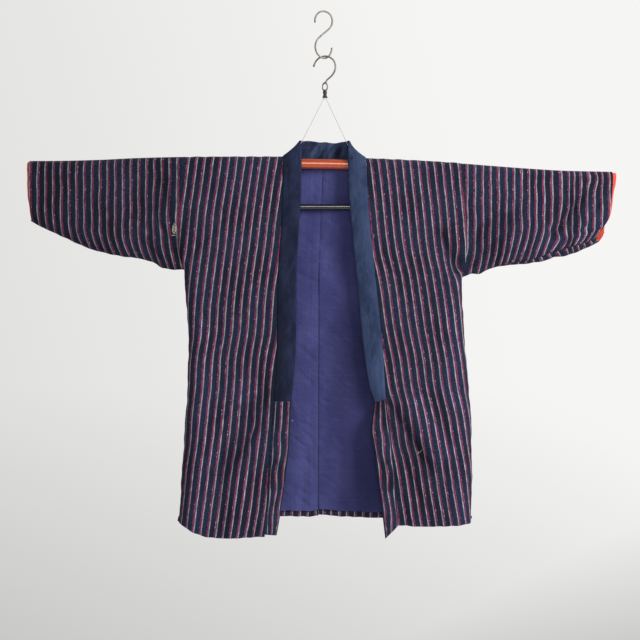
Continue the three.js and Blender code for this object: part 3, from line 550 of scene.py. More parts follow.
def body_points(half, face, nominal, inner):
    """One row for each nominal drop, from the inner edge out to the side."""
    nominal, inner = np.atleast_1d(nominal)[:, None], np.atleast_1d(inner)[:, None]
    rim_gap = mix(SEAM_GAP / 2, OUTSIDE + SEAM_GAP / 2, smooth((nominal - half.armpit) / 10))
    outer = half.outer(nominal) - rim_gap
    first = outer - EDGE_PART
    even = mix(inner, first, np.linspace(0, 1, INNER_STEPS, endpoint=False)[None])
    out = np.concatenate([even, outer - closing(0, EDGE_PART, EDGE_STEPS)[None]], 1)
    drop = bent_drop(half, face, out, nominal)
    real_out = out + rim_gap * smooth((out - first) / EDGE_PART)
    from_edge = from_closed_edge(half, real_out, drop)
    y = layer_y(half, face, real_out, drop, from_edge)
    closed = nominal[:, 0] >= half.armpit
    y[closed, -1] = face * SEAM_GAP / 2
    hem = smooth((nominal - HEM_DROP + 14) / 8) * (1 - smooth((nominal - HEM_DROP + 5) / 4))
    y = y - face * 0.6 * hem * parted(outer - out)
    # Round the side the cloth is longer than it looks from the front.
    step_out, step_y = np.diff(out, axis=1), np.diff(y, axis=1)
    longer = (np.hypot(step_out, step_y) - step_out)[:, INNER_STEPS - 1 :].cumsum(axis=1)
    extra = np.zeros(out.shape)
    extra[:, INNER_STEPS:] = longer
    line = line_at(half, out, drop, face) + extra
    return half.at(out, y, drop), line, relief(half, face, real_out, drop, from_edge)


def fold_points(half, angle):
    """Rows over the shoulder: angle is 90 degrees at the front and -90 at the back."""
    turn = np.radians(angle)[:, None]
    edge = half.front_edge(0)
    at_back = edge * np.cos(np.clip(turn, -math.pi / 2, 0)) ** 0.5
    inner = np.where(turn >= 0, edge, np.maximum(at_back, half.sign * BACK_SEAM(0) + 0.1))
    outer = half.outer(np.zeros(1))[0] - SEAM_GAP / 2
    first = outer - EDGE_PART
    even = mix(inner, first, np.linspace(0, 1, INNER_STEPS, endpoint=False)[None])
    edge_part = np.broadcast_to(outer - closing(0, EDGE_PART, EDGE_STEPS)[None], (len(angle), EDGE_STEPS))
    out = np.concatenate([even, edge_part], 1)
    radius = FOLD_RADIUS - 0.3 * seam_dip(half, out, 0)
    scallop = 0.55 * np.sin(out / 5.2) * np.sin(out / 41 + 1) * np.cos(turn) ** 2
    drop = half.shoulder(out) + FOLD_RADIUS - (radius + scallop) * np.cos(turn)
    line = np.where(turn > 0, line_at(half, out, drop, FRONT), line_at(half, out, 0 * drop, BACK))
    return half.at(out, -radius * np.sin(turn), drop), line, np.zeros(out.shape)


def spaced(start, end, step):
    """Even steps, about as long as the given one, with both ends."""
    return np.linspace(start, end, max(2, round(abs(end - start) / step) + 1))


def body_grid(half):
    """Rows from the front hem, up over the shoulder and down to the back hem."""
    hem = HEM_DROP - np.array([0, 0.15, 0.5, 1, 1.7])
    front = np.concatenate([hem, spaced(HEM_DROP - 3, FOLD_RADIUS + 3, 3.6)])
    angles = np.linspace(90, -90, 27)
    back = front[::-1]
    turned = HEM_DROP - HEM_TURN
    parts = [
        body_points(half, FRONT, front, half.front_edge(front)),
        fold_points(half, angles),
        body_points(half, BACK, back, half.sign * BACK_SEAM(back) + 0.1),
    ]
    points, line, heights = (np.concatenate(rows) for rows in zip(*parts))
    is_turned = np.concatenate([np.zeros(len(front) + len(angles), bool), back >= turned])
    # The back's turned hem strip gets painted shade.
    heights = heights - 2.6 * is_turned[:, None]
    row = points[:, INNER_STEPS // 2]
    along = np.concatenate([[0], np.cumsum(np.linalg.norm(np.diff(row, axis=0), axis=1))])
    cloth = np.stack([line, np.broadcast_to(along[:, None], line.shape)], -1)
    kind = {
        "front": np.arange(len(points)) < len(front),
        "back": np.arange(len(points)) >= len(front) + len(angles),
        "turned": is_turned,
        "from_hem": np.concatenate([HEM_DROP - front, np.full(len(angles), 99), HEM_DROP - back]),
        "heights": heights,
    }
    return points, cloth, kind


def body(half):
    points, cloth, kind = body_grid(half)
    below_armpit = points[:, -1, 2] <= SHOULDER_Z - half.armpit
    closed = (kind["front"] | kind["back"]) & below_armpit
    mirrored = points[:, -2] * [1, -1, 1]
    beyond = np.where(closed[:, None], mirrored, points[:, -1])
    square = np.zeros(points.shape, bool)
    square[~closed, -1, 0] = True
    sheet = Sheet(
        points, cloth, sign=half.sign, beyond=beyond, square=square, heights=kind["heights"]
    )
    rounding = thinned(kind["from_hem"])
    single = kind["back"] & ~kind["turned"]
    inner = np.where(single, BARE_INSIDE, LINED_INSIDE) * rounding
    slots = np.where(kind["back"], 0, 1)
    name = f"body_{half.name}_cloth"
    piece = sheet.build(
        name, (OUTSIDE * rounding)[:, None], inner[:, None], [STRIPED, PURPLE], (0, slots, 0)
    )
    declare(piece, f"body_{half.name}")
    return points, kind, sheet


# ---- The lining of the back: the back's own points, moved in ----
LINING_CREASES = [  # the ends as (x from the seam, drop), the height and the width
    ((-44, 552), (-12, 573), -1.6, 3.5), ((-34, 573), (-8, 603), -1.8, 3.5),
    ((-30, 632), (-4, 661), -1.7, 4), ((-52, 590), (-30, 610), -1.2, 3.5),
    ((-42, 451), (-13, 480), -1.3, 4), ((-38, 398), (-6, 430), -1.4, 4.5),
    ((-66, 486), (-40, 560), 1.2, 6), ((-60, 690), (-20, 712), -1.3, 4.5),
    ((-45, 715), (-14, 742), -1.1, 4), ((-50, 240), (-8, 262), -1.3, 4.5),
    ((-30, 168), (-6, 200), -1.2, 4), ((-56, 190), (-52, 420), -1.0, 3),
    ((4, 188), (44, 176), -1.4, 5), ((6, 214), (52, 226), -1.5, 5), ((10, 244), (60, 236), -1.2, 6),
    ((32, 587), (57, 616), -1.2, 4.5), ((43, 678), (78, 714), -1.3, 5), ((8, 470), (30, 476), -1.0, 3),
    ((6, 510), (34, 520), -1.1, 3.5), ((10, 640), (60, 652), -1.1, 5), ((60, 330), (90, 420), 1.4, 9),
    ((12, 360), (50, 380), -1.0, 4), ((20, 722), (70, 738), -1.1, 4), ((4, 96), (40, 110), -1.0, 4),
]
LINING_DEPTH = 3.6  # how far in front of the back's middle it lies
LINING_HALF = 0.35


def wrinkled(half, points):
    """Small wrinkles along the middle seam and across the lining."""
    x, z = points[..., 0], points[..., 2]
    across = x - GARMENT_X - BACK_SEAM(SHOULDER_Z - z)
    from_seam = np.abs(across)
    creases = raised(LINING_CREASES, across, SHOULDER_Z - z)
    pucker = np.exp(-from_seam / 9) * np.sin(z / 3.1 + 1.4 * np.sin(z / 17))
    band = np.sin(z / 9.5 + 2.2 * np.sin(x / 47) + 1.3 * np.sin(z / 61 + half.sign))
    patch = smooth(0.5 + 0.8 * np.sin(z / 73 + x / 90 + half.sign))
    drag = np.sin((z + 0.7 * x) / 26 + half.sign) * np.sin((z - 1.2 * x) / 71)
    seam = np.exp(-((from_seam / 2.2) ** 2))
    return 1.4 * creases + 0.5 * pucker + 0.35 * band * patch + 0.8 * drag - 1.1 * seam


def back_lining(half, grid):
    points, kind, sheet = grid
    rows = np.flatnonzero(kind["back"] & ~kind["turned"])[:-1]
    columns = INNER_STEPS + 9
    part, normal = points[rows][:, :columns], sheet.normal[rows][:, :columns]
    lift = np.clip(wrinkled(half, part), -2.6, 2)[..., None]
    inward = part - normal * (LINING_DEPTH + lift * 0.9)
    inward[:, 0, 0] -= half.sign * 0.14  # nearer to the other half, to close the seam
    across = part[..., 0] - GARMENT_X - BACK_SEAM(SHOULDER_Z - part[..., 2])
    place = np.stack([across, part[..., 2] - SHOULDER_Z], -1)
    lining = Sheet(inward, place, sign=half.sign)
    name = f"back_lining_{half.name}_cloth"
    piece = lining.build(name, LINING_HALF, LINING_HALF, [BACK_LINING])
    declare(
        piece, f"back_lining_{half.name}",
    )


# ---- The sleeves ----
def sleeve_ring(half, nominal, share):
    """One ring: top, down the front, under the arm and up the back."""

    def place(drop, face):
        return mix(half.armhole(drop) + SEAM_GAP / 2, half.cuff[face](drop), share)

    top, bottom = half.shoulder(nominal), half.underarm(nominal)
    for _ in range(5):
        bottom = half.underarm(place(bottom, FRONT))
    low = place(bottom, FRONT)
    bottom = bottom + 0.6 * np.sin(low / 4.7) * np.sin(low / 31) + 0.4 * np.sin(low / 13)
    rolled = half.rolled(low)
    bend = np.radians(np.linspace(84, 0, 14))
    curved_y, curved_drop = FOLD_RADIUS * np.cos(bend), top + FOLD_RADIUS * (1 - np.sin(bend))
    flat = np.linspace(top + FOLD_RADIUS, bottom - EDGE_ROUND, 58)[1:]
    crease = max(rolled, 4)
    above = crease + 0.7 + (EDGE_ROUND - crease - 0.7) * (1 - np.linspace(0, 1, 9)[1:]) ** 1.4
    below = (crease - 0.5) * (1 - np.linspace(0, 1, 10)[:-1]) ** 1.5
    straight = np.concatenate([flat, bottom - above, [bottom - crease - 0.1], bottom - below])

    def layer(face):
        out = place(straight, face)
        up = bottom - straight
        y = layer_y(half, face, out, straight, up)
        heights = relief(half, face, out, straight, up)
        if rolled > 0 and face == FRONT:
            # The back's lower edge rolls up in front, under the front's own edge.
            groove = np.exp(-(((up - rolled) / 1.3) ** 2))
            plump = np.exp(-(((up - rolled - 6) / 5) ** 2))
            under = smooth((rolled - up) / 2) * (1.8 + 0.5 * np.sin(nominal / 2.9))
            y = y + smooth(rolled / 5) * (4.2 * groove - 1.4 * plump + under)
            # A painted shadow line along the groove under the front's edge.
            heights = heights - 3.4 * smooth(rolled / 5) * np.exp(-(((up - rolled) / 2.2) ** 2))
        edge = place(curved_drop, face)
        near_seam = 0.3 * seam_dip(half, edge, curved_drop)
        outs = np.concatenate([edge, out])
        ys = np.concatenate([face * (curved_y - near_seam), y])
        drops = np.concatenate([curved_drop, straight])
        return outs, ys, drops, np.concatenate([0 * edge, heights])

    front, back = layer(FRONT), [v[::-1] for v in layer(BACK)]
    ends = ((place(top, FRONT), low), (0, 0), (top, bottom), (0, 0))
    out, y, drop, heights = (
        np.concatenate([[first], f, [last], b]) for (first, last), f, b in zip(ends, front, back)
    )
    return half.at(out, y, drop), sleeve_cloth(half, out, drop, top, bottom, rolled), heights


def sleeve_cloth(half, out, drop, top, bottom, rolled):
    """Where each point of a ring is on the cloth, with the ring's start once more at its end."""
    on_front = np.arange(len(out)) <= len(out) // 2
    above = bottom - drop - rolled * on_front
    near_edge = np.clip(1 - above / half.sleeve_reach(out), 0, 1) ** 1.7
    lean = half.sleeve_lean(out) * np.minimum(near_edge, 1)
    waver = 0.7 * np.sin(drop / 13 + out / 47) * np.sin(drop / 41 - out / 29)
    jogs = sum_of_jogs(half, out, drop) * on_front
    line = out - half.sleeve_line - half.sleeve_shift(out) - lean - waver - jogs
    # The rolled strip shows another part of the cloth, its lines slanting the other way.
    in_strip = on_front & (above < 0)
    line = np.where(in_strip, line + half.sleeve_lean(out) + 0.45 * PITCH + 0.5 * above, line)
    line = -line / half.sleeve_spread
    along = np.where(on_front, drop, 2 * bottom - drop + 20)
    line, along = np.append(line, line[0]), np.append(along, 2 * bottom - top + 20)
    return np.stack([line, along], -1)


def sleeve_stations(half):
    """Each ring's distance out, its share of the sleeve and its distance from the cuff."""
    start, end = half.armhole(120), half.cuff[FRONT](60)
    near = start + np.array([0, 1, 2.2, 4, 6.5])
    run = spaced(start + 9.5, end - 3, 3.4)
    ends = end - np.array([1.6, 0.9, 0.4, 0.12, 0])
    stations = np.concatenate([near, run, ends])
    return stations, (stations - start) / (end - start), end - stations


def sleeve(half):
    stations, shares, from_end = sleeve_stations(half)
    rings = [sleeve_ring(half, n, s) for n, s in zip(stations, shares)]
    points, cloth, heights = (np.stack(rows) for rows in zip(*rings))
    square = np.zeros(points.shape, bool)
    square[0, :, 0] = True
    sheet = Sheet(points, cloth, ring=True, sign=half.sign, square=square, heights=heights)
    rounding = thinned(from_end)
    inner = np.where(from_end < CUFF_BAND, BARE_INSIDE, LINED_INSIDE) * rounding
    name = f"sleeve_{half.name}_cloth"
    slots = np.where(from_end < CUFF_BAND + 3, 0, 1)
    # The right sleeve gets the copy with painted shade.
    striped = STRIPED_PAINTED_SHADE if half is RIGHT else STRIPED
    piece = sheet.build(
        name, (OUTSIDE * rounding)[:, None], inner[:, None], [striped, PURPLE], (0, slots, 0)
    )
    declare(piece, f"sleeve_{half.name}")


def cuff_lining(half):
    """The red lining inside the cuff, which stands out past its edge."""
    end = half.cuff[FRONT](60)
    start = half.armhole(120)
    steps = np.concatenate([spaced(CUFF_BAND - 3, 3, 4), [1.5, 0]])
    rings = [sleeve_ring(half, end - s, (end - s - start) / (end - start)) for s in steps]
    points = [ring[0] for ring in rings]
    last = points[-1]
    proud = half.cuff_lining(SHOULDER_Z - last[:, 2])
    flutter = 0.5 * np.sin(last[:, 2] / 7.3 + half.sign) * np.sin(last[:, 2] / 17)
    slope = (last[:, 2] - points[-3][:, 2]) / 3
    for share in (0.35, 0.7, 0.9, 1):
        reach = (proud + flutter) * share
        step = np.stack([half.sign * reach, 0 * reach, slope * reach], -1)
        points.append(last + step)
    points = np.stack(points)
    place = np.stack([points[..., 0], points[..., 2]], -1)
    place = np.concatenate([place, place[:, :1]], 1)
    sheet = Sheet(points, place, ring=True, sign=half.sign)
    rounding = np.ones(len(points))
    rounding[-2:] = 0.8, 0.35
    outer, inner = -OUTSIDE - 0.6 + 0.6 * rounding, OUTSIDE + 0.6 + 0.6 * rounding
    piece = sheet.build(f"cuff_lining_{half.name}_cloth", outer[:, None], inner[:, None], [RED])
    declare(
        piece, f"cuff_lining_{half.name}",
    )


# ---- The collar ----
ACROSS = np.linspace(0, 1, 25)
NECK_RIM = [  # the angle on the shoulder fold, or the share of the straight back; out, y, rise
    (90, None, 50, -15.4, -9), (67.5, None, 50, -15.2, 4), (45, None, 50.5, -14, 15),
    (22.5, None, 51.5, -12, 25), (0, None, 52, -8, 32), (-22.5, None, 52, -1.5, 34.5),
    (-45, None, 50.5, 6, 34.5), (-67.5, None, 46, 12, 34), (None, 0.72, 36, 15.5, 34),
    (None, 0.46, 24, 17.4, 33.8), (None, 0.22, 12, 18.4, 33.4), (None, 0, 0, 18.8, 33.2),
]


def band(seam, free, outward, crown, gap):
    """Points across the band from the seam edge to the free edge, one row for each station."""
    way = free - seam
    way = way / np.linalg.norm(way, axis=-1, keepdims=True)
    seam = seam + way * gap
    t = ACROSS[None, :, None]
    bow = 4 * t * (1 - t) * crown
    return mix(seam[:, None], free[:, None], t) + outward[:, None] * bow


def front_band(half, drop, gap=0.5):
    """The band along one front, from its seam to its free edge."""
    seam = body_points(half, FRONT, drop, half.front_edge(drop))[0][:, 0]
    free = half.at(half.free_edge(drop), seam[:, 1] + half.free_turn(drop), SHOULDER_Z - seam[:, 2])
    outward = np.broadcast_to([0.0, -1.0, 0.0], seam.shape)
    wave = 2.5 + 0.5 * np.sin(drop / 41 + half.sign)[:, None, None]
    return band(seam, free, outward, wave, gap)


def slant(half, drop):
    """How far the over-collar's slanted end raises each point across the band."""
    near = np.exp(-np.abs(drop - OVER_COLLAR_END) / 22)
    return half.end_slant * near[:, None] * (1 - 2 * ACROSS)[None]


def neck_band(half):
    """Stations round the neck, on a smooth path through the rim's rows."""

    def fold(angle):
        return fold_points(half, np.array([float(angle)]))[0][0, 0]

    corner, middle = fold(-67.5), fold(-90)
    seams, frees, crowns = [], [], []
    for angle, share, out, y, rise in NECK_RIM:
        crown = -1
        if angle is not None:
            crown = -1 - half.neck_hollow * math.cos(math.radians(angle)) ** 2
        crowns.append([crown] * 3)
        seam = mix(middle, corner, share) if angle is None else fold(angle)
        out = out + half.neck_shift * smooth(out / 45)
        free = half.at(out, y, -rise)
        free[2] += rim_waver(free[0]) * (y > 10)
        if share == 0:
            seam[0] = free[0]
        seams.append(seam)
        frees.append(free)
    seams, frees, crowns = (fine_path(np.array(rows, float)) for rows in (seams, frees, crowns))
    outward = (frees - [GARMENT_X, 0, 0]) * [1, 1, 0]
    outward = outward / np.linalg.norm(outward, axis=-1, keepdims=True)
    return band(seams, frees, outward, crowns[:, None, :1], 0.9)


def rim_waver(x):
    """The neck's upper edge, uneven with wear: small waves, a dip and a swell."""
    waves = 0.9 * math.sin(x / 7.5)
    dip = 4.8 * math.exp(-(((x - 20) / 7) ** 2))
    swell = 1.2 * math.exp(-(((x + 24) / 12) ** 2))
    return waves - dip + swell


def fine_path(points, each=7):
    """A Catmull-Rom path through the points, with each as many steps between two."""
    padded = np.concatenate([[2 * points[0] - points[1]], points, [2 * points[-1] - points[-2]]])
    path = []
    for n in range(1, len(padded) - 2):
        a, b, c, d = padded[n - 1 : n + 3]
        for t in np.linspace(0, 1, each, endpoint=False):
            path.append(
                0.5 * (2 * b + (c - a) * t + (2 * a - 5 * b + 4 * c - d) * t**2
                       + (3 * b - a - 3 * c + d) * t**3)
            )
    return np.array(path + [points[-1]])


def collar_reach(rows, thick=COLLAR_THICKNESS):
    """Half the band's thickness: plump in the middle and rounded at both edges."""
    edge = np.minimum(ACROSS / 0.1, (1 - ACROSS) / 0.075)
    profile = 0.12 + 0.88 * np.sqrt(1 - (1 - np.clip(edge, 0, 1)) ** 2)
    lean = mix(0.8, 1.0, smooth(ACROSS / 0.4))
    return np.broadcast_to(thick / 2 * profile * lean, (rows, len(ACROSS))).copy()


def over_collar():
    halves = []
    for half in HALVES:
        end_rows = OVER_COLLAR_END - np.array([0, 0.3, 0.9])
        drops = np.concatenate([end_rows, spaced(OVER_COLLAR_END - 2.5, 18, 4)])
        front = front_band(half, drops)
        front[..., 2] += slant(half, drops)
        halves.append(np.concatenate([front, neck_band(half)]))
    points = np.concatenate([halves[0], halves[1][::-1][1:]])
    along = np.concatenate([[0], np.cumsum(np.linalg.norm(np.diff(points[:, 12], axis=0), axis=1))])
    width = np.linalg.norm(points[:, -1] - points[:, 0], axis=-1)
    cloth = np.stack([width[:, None] * ACROSS, np.broadcast_to(along[:, None], points.shape[:2])], -1)
    square = np.zeros(points.shape, bool)
    square[[0, -1], :, 2] = True
    sheet = Sheet(points, cloth, square=square)
    reach = collar_reach(len(points))
    middle = along[len(halves[0]) - 1]
    reach -= 0.9 * np.exp(-(((along[:, None] - middle) / 1.6) ** 2)) * reach / COLLAR_THICKNESS * 2
    ends = np.minimum(along, along[-1] - along)[:, None]
    reach *= thinned(ends, 1.2, 0.8)
    piece = sheet.build("over_collar_cloth", reach, reach, [NAVY])
    declare(piece, "over_collar")
    return points


def collar_tail(half):
    """The striped collar below the over-collar, down to its slanted end."""
    end_rows = HEM_DROP - np.array([1.5, 0.6, 0])
    drops = np.concatenate([spaced(OVER_COLLAR_END + 0.4, HEM_DROP - 3, 4), end_rows])
    points = front_band(half, drops, -0.5)
    share = ((drops - OVER_COLLAR_END) / (HEM_DROP - OVER_COLLAR_END))[:, None]
    end = mix(half.tail_end[0], half.tail_end[1], ACROSS)[None]
    points[..., 2] = SHOULDER_Z - mix(OVER_COLLAR_END + 0.4, end, share) + slant(half, drops)
    along = SHOULDER_Z - points[..., 2]
    across = ACROSS[None]
    rumple = np.sin(along / 15 + 3 * across + half.sign) * np.sin(along / 37 - 4 * across)
    rumple = (1.3 * rumple + 0.6 * np.sin(along / 7 - 5 * across)) * smooth(share / 0.1)
    hollow = np.exp(-(((across - 0.45) / 0.3) ** 2)) * smooth(0.4 + 0.7 * np.sin(along / 29 + 4))
    points[..., 1] += rumple * 4 * across * (1 - across) + 1.2 * hollow
    lines = np.interp(ACROSS, half.tail_lines, [0, 1, 2], left=-0.45, right=2.25) * PITCH
    lines = lines + 1.8 * smooth(share / 0.5) * np.sin(along / 13 + 2 * across)
    cloth = np.stack([-lines, along], -1)
    square = np.zeros(points.shape, bool)
    square[0, :, 2] = True
    # Painted shade in the hollow and in the rumples' troughs, painted light on their ridges.
    heights = -1.6 * rumple - 2.6 * hollow
    sheet = Sheet(points, cloth, square=square, heights=heights)
    reach = collar_reach(len(points), 0.9 * COLLAR_THICKNESS)
    from_end = (HEM_DROP - drops)[:, None]
    reach *= thinned(from_end, by=0.85)
    name = f"collar_tail_{half.name}"
    piece = sheet.build(f"{name}_cloth", reach, reach, [STRIPED])
    declare(piece, name)


def stand_in(piece, node):
    """The piece rides on the one body and is drawn in place of the solid."""
    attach(piece, "root")
    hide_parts(node)


def declare(piece, node):
    stand_in(piece, node)


# ---- Materials ----
def srgb(r, g, b):
    """A colour from its screen values, 0 to 255."""
    linear = [c / 255 / 12.92 if c < 10.3 else ((c / 255 + 0.055) / 1.055) ** 2.4 for c in (r, g, b)]
    return (*linear, 1.0)


class Nodes:
    """Short names for building a material's node tree."""

    def __init__(self, name):
        self.material = bpy.data.materials.new(name)
        self.material.use_nodes = True
        self.tree = self.material.node_tree
        self.surface = self.tree.nodes["Principled BSDF"]

    def new(self, kind, **settings):
        node = self.tree.nodes.new(kind)
        for key, value in settings.items():
            setattr(node, key, value)
        return node

    def link(self, source, target):
        self.tree.links.new(source, target)

    def put(self, value, socket):
        if isinstance(value, bpy.types.NodeSocket):
            self.link(value, socket)
        else:
            socket.default_value = value

    def math(self, operation, *values):
        node = self.new("ShaderNodeMath", operation=operation)
        for socket, value in zip(node.inputs, values):
            self.put(value, socket)
        return node.outputs[0]

    def plus(self, a, b):
        return self.math("ADD", a, b)

    def times(self, a, b):
        return self.math("MULTIPLY", a, b)

    def off(self, value, place):
        """How far the value is from the place."""
        return self.math("ABSOLUTE", self.math("SUBTRACT", value, place))

    def ramp(self, value, low, high, to_low=0.0, to_high=1.0):
        node = self.new("ShaderNodeMapRange", interpolation_type="SMOOTHSTEP")
        for socket, number in zip(node.inputs, (value, low, high, to_low, to_high)):
            self.put(number, socket)
        return node.outputs[0]

    def blend(self, factor, a, b, mode="MIX"):
        node = self.new("ShaderNodeMix", data_type="RGBA", blend_type=mode)
        self.put(factor, node.inputs[0])
        self.put(a, node.inputs[6])
        self.put(b, node.inputs[7])
        return node.outputs[2]

    def two_tone(self, value, low, high, dark, light):
        """From the dark to the light screen colour as the value goes from low to high."""
        return self.blend(self.ramp(value, low, high), srgb(*dark), srgb(*light))

    def tint(self, color, value, low, high, strength, shade):
        """The colour, towards a screen colour as the value goes from low to high."""
        return self.blend(self.ramp(value, low, high, 0.0, strength), color, srgb(*shade))

    def cloth_place(self):
        """(across, along) on the cloth, in metres."""
        uv = self.new("ShaderNodeUVMap", uv_map="Cloth").outputs[0]
        parts = self.new("ShaderNodeSeparateXYZ")
        self.link(uv, parts.inputs[0])
        return uv, parts.outputs[0], parts.outputs[1]

    def spot(self, value, place, reach):
        """1 at the place, fading out within the reach."""
        return self.ramp(self.off(value, place), 0.4 * reach, reach, 1.0, 0.0)

    def scaled(self, vector, x, y, z=1.0):
        node = self.new("ShaderNodeVectorMath", operation="MULTIPLY")
        self.link(vector, node.inputs[0])
        node.inputs[1].default_value = (x, y, z)
        return node.outputs[0]

    def slanted(self, vector, degrees, x, y):
        """The place turned by an angle, then scaled."""
        node = self.new("ShaderNodeMapping")
        self.link(vector, node.inputs["Vector"])
        node.inputs["Rotation"].default_value = (0, 0, math.radians(degrees))
        return self.scaled(node.outputs[0], x, y)

    def noise(self, vector, scale, detail=2.0, rough=0.5):
        node = self.new("ShaderNodeTexNoise")
        self.link(vector, node.inputs["Vector"])
        node.inputs["Scale"].default_value = scale
        node.inputs["Detail"].default_value = detail
        node.inputs["Roughness"].default_value = rough
        return node.outputs[0]

    def mottle(self, vector, x, y, detail=3.0, rough=0.6):
        """Uneven spots, about x of them to a metre across the cloth and y along it."""
        return self.noise(self.scaled(vector, x, y), 1.0, detail, rough)

    def bump(self, height, strength, distance, under=None):
        node = self.new("ShaderNodeBump")
        node.inputs["Strength"].default_value = strength
        node.inputs["Distance"].default_value = distance
        self.link(height, node.inputs["Height"])
        if under is not None:
            self.link(under, node.inputs["Normal"])
        return node.outputs[0]

    def weave(self, across, along, pitch):
        """A plain weave's height: threads over and under at the given pitch, in metres."""
        wave = math.pi / pitch
        a = self.math("SINE", self.times(across, wave))
        b = self.math("SINE", self.times(along, wave))
        return self.times(a, b)

    def woven(self, uv, across, along, thread, puff):
        """The relief of plain cotton: its weave and threads, then soft puffs over them."""
        height = self.plus(self.times(self.weave(across, along, 0.0006), 0.4), thread)
        fine = self.bump(height, 0.3, 0.0004)
        return self.bump(self.mottle(uv, 30, 24), puff, 0.005, fine)

    def finish(self, color, normal=None, roughness=0.9, sheen=0.0, specular=0.3, **more):
        self.put(color, self.surface.inputs["Base Color"])
        self.put(roughness, self.surface.inputs["Roughness"])
        self.surface.inputs["Specular IOR Level"].default_value = specular
        self.surface.inputs["Sheen Weight"].default_value = sheen
        for key, value in more.items():
            self.surface.inputs[key.replace("_", " ")].default_value = value
        if normal is not None:
            self.link(normal, self.surface.inputs["Normal"])
        return self.material


def striped_cotton(name, tone):
    """Dark blue handwoven cotton with a grey-white and a crimson line in each repeat."""
    n = Nodes(name)
    uv, across, along = n.cloth_place()
    wobble = n.math("SUBTRACT", n.mottle(uv, 60, 22, rough=0.5), 0.5)
    moved = n.plus(across, n.times(wobble, 0.0016))
    phase = n.math("FRACT", n.math("DIVIDE", moved, PITCH * MM))
    # The white line is round phase 0 and the crimson one lies beside it.
    centred = n.math("FRACT", n.plus(phase, 0.5))
    to_white = n.off(centred, 0.5)
    to_crimson = n.off(phase, 0.195)
    thread = n.mottle(uv, 1500, 420, 2.0)
    fleece = n.mottle(uv, 520, 330, rough=0.65)
    hue = n.mottle(uv, 230, 120, 2.0)
    slub = n.mottle(uv, 420, 60)
    cloud = n.mottle(uv, 11, 7, rough=0.55)
    ground = n.two_tone(fleece, 0.38, 0.62, (15, 19, 30), (33, 45, 70))
    ground = n.tint(ground, hue, 0.52, 0.64, 0.7, (44, 36, 66))
    ground = n.tint(ground, hue, 0.46, 0.35, 0.6, (17, 42, 50))
    ground = n.tint(ground, cloud, 0.42, 0.62, 0.6, (13, 15, 25))
    ground = n.tint(ground, thread, 0.58, 0.75, 0.4, (62, 68, 92))
    crimson = n.two_tone(slub, 0.36, 0.64, (72, 26, 46), (124, 48, 80))
    crimson = n.tint(crimson, hue, 0.5, 0.66, 0.5, (126, 62, 104))
    white = n.two_tone(slub, 0.34, 0.66, (100, 100, 107), (158, 155, 161))
    white = n.tint(white, hue, 0.5, 0.66, 0.5, (138, 118, 136))
    dots = n.mottle(uv, 500, 330, 1.0, 0.5)
    white = n.tint(white, dots, 0.46, 0.36, 0.55, (78, 77, 88))
    in_crimson = n.ramp(to_crimson, 0.075, 0.115, 1.0, 0.0)
    in_white = n.ramp(to_white, 0.05, 0.09, 1.0, 0.0)
    # The threads of both lines are twisted, so the dark ground shows through between turns.
    twist = n.math("SINE", n.times(n.plus(along, n.times(across, 0.6)), 2400))
    twist = n.ramp(n.plus(twist, n.times(fleece, 1.6)), -0.5, 0.8, 0.62, 1.0)
    color = n.blend(n.times(in_crimson, n.times(twist, 0.96)), ground, crimson)
    color = n.blend(n.times(in_white, twist), color, white)
    # Light flecks sit along the crimson line's outer side, uneven in length and place.
    fleck = n.ramp(n.mottle(uv, 300, 190, 1.0, 0.5), 0.63, 0.71)
    beside = n.ramp(n.off(phase, 0.265), 0.03, 0.07, 1.0, 0.0)
    color = n.blend(n.times(n.times(fleck, beside), 0.75), color, srgb(172, 150, 164))
    # Painted shade in the creases and troughs and painted light on the ridges, from the relief values
    # carried on the mesh.
    heights = n.new("ShaderNodeAttribute", attribute_name="PaintedShadeRelief").outputs["Fac"]
    color = n.blend(n.ramp(heights, -0.4, -3.8, 0.0, 0.42), color, (0.3, 0.3, 0.34, 1), "MULTIPLY")
    color = n.blend(n.ramp(heights, 0.6, 4.0, 0.0, 0.7), color, (1.35, 1.35, 1.4, 1), "MULTIPLY")
    # A tone below 1 darkens the whole cloth: painted shade, for the copy on the right sleeve, away from
    # the light.
    color = n.blend(n.ramp(cloud, 0.1, 0.9, 0.9, 1.0), color, (tone, tone, tone, 1), "MULTIPLY")
    raised_line = n.math("MAXIMUM", in_white, in_crimson)
    height = n.plus(n.times(n.weave(across, along, 0.0008), 0.3), thread)
    height = n.plus(height, n.times(n.times(raised_line, twist), 0.8))
    fine = n.bump(height, 0.5, 0.0005)
    soft = n.bump(n.mottle(uv, 34, 21), 0.55, 0.006, fine)
    return n.finish(color, soft, 0.95, sheen=0.04, specular=0.08)


def plain_cotton(name, dark, light, streaks, puff=0.35):
    n = Nodes(name)
    uv, across, along = n.cloth_place()
    cloud = n.mottle(uv, 16, 9, 4.0)
    streak = n.mottle(uv, streaks, 2.2)
    thread = n.mottle(uv, 1500, 300, 2.0)
    color = n.two_tone(cloud, 0.28, 0.72, dark, light)
    middle = tuple((a + b) / 2 for a, b in zip(dark, light))
    color = n.tint(color, streak, 0.4, 0.62, 0.6, [c * 0.88 for c in middle])
    color = n.tint(color, thread, 0.55, 0.8, 0.3, [min(255, c * 1.25) for c in light])
    return n.finish(color, n.woven(uv, across, along, thread, puff), 0.88, sheen=0.1, specular=0.2)


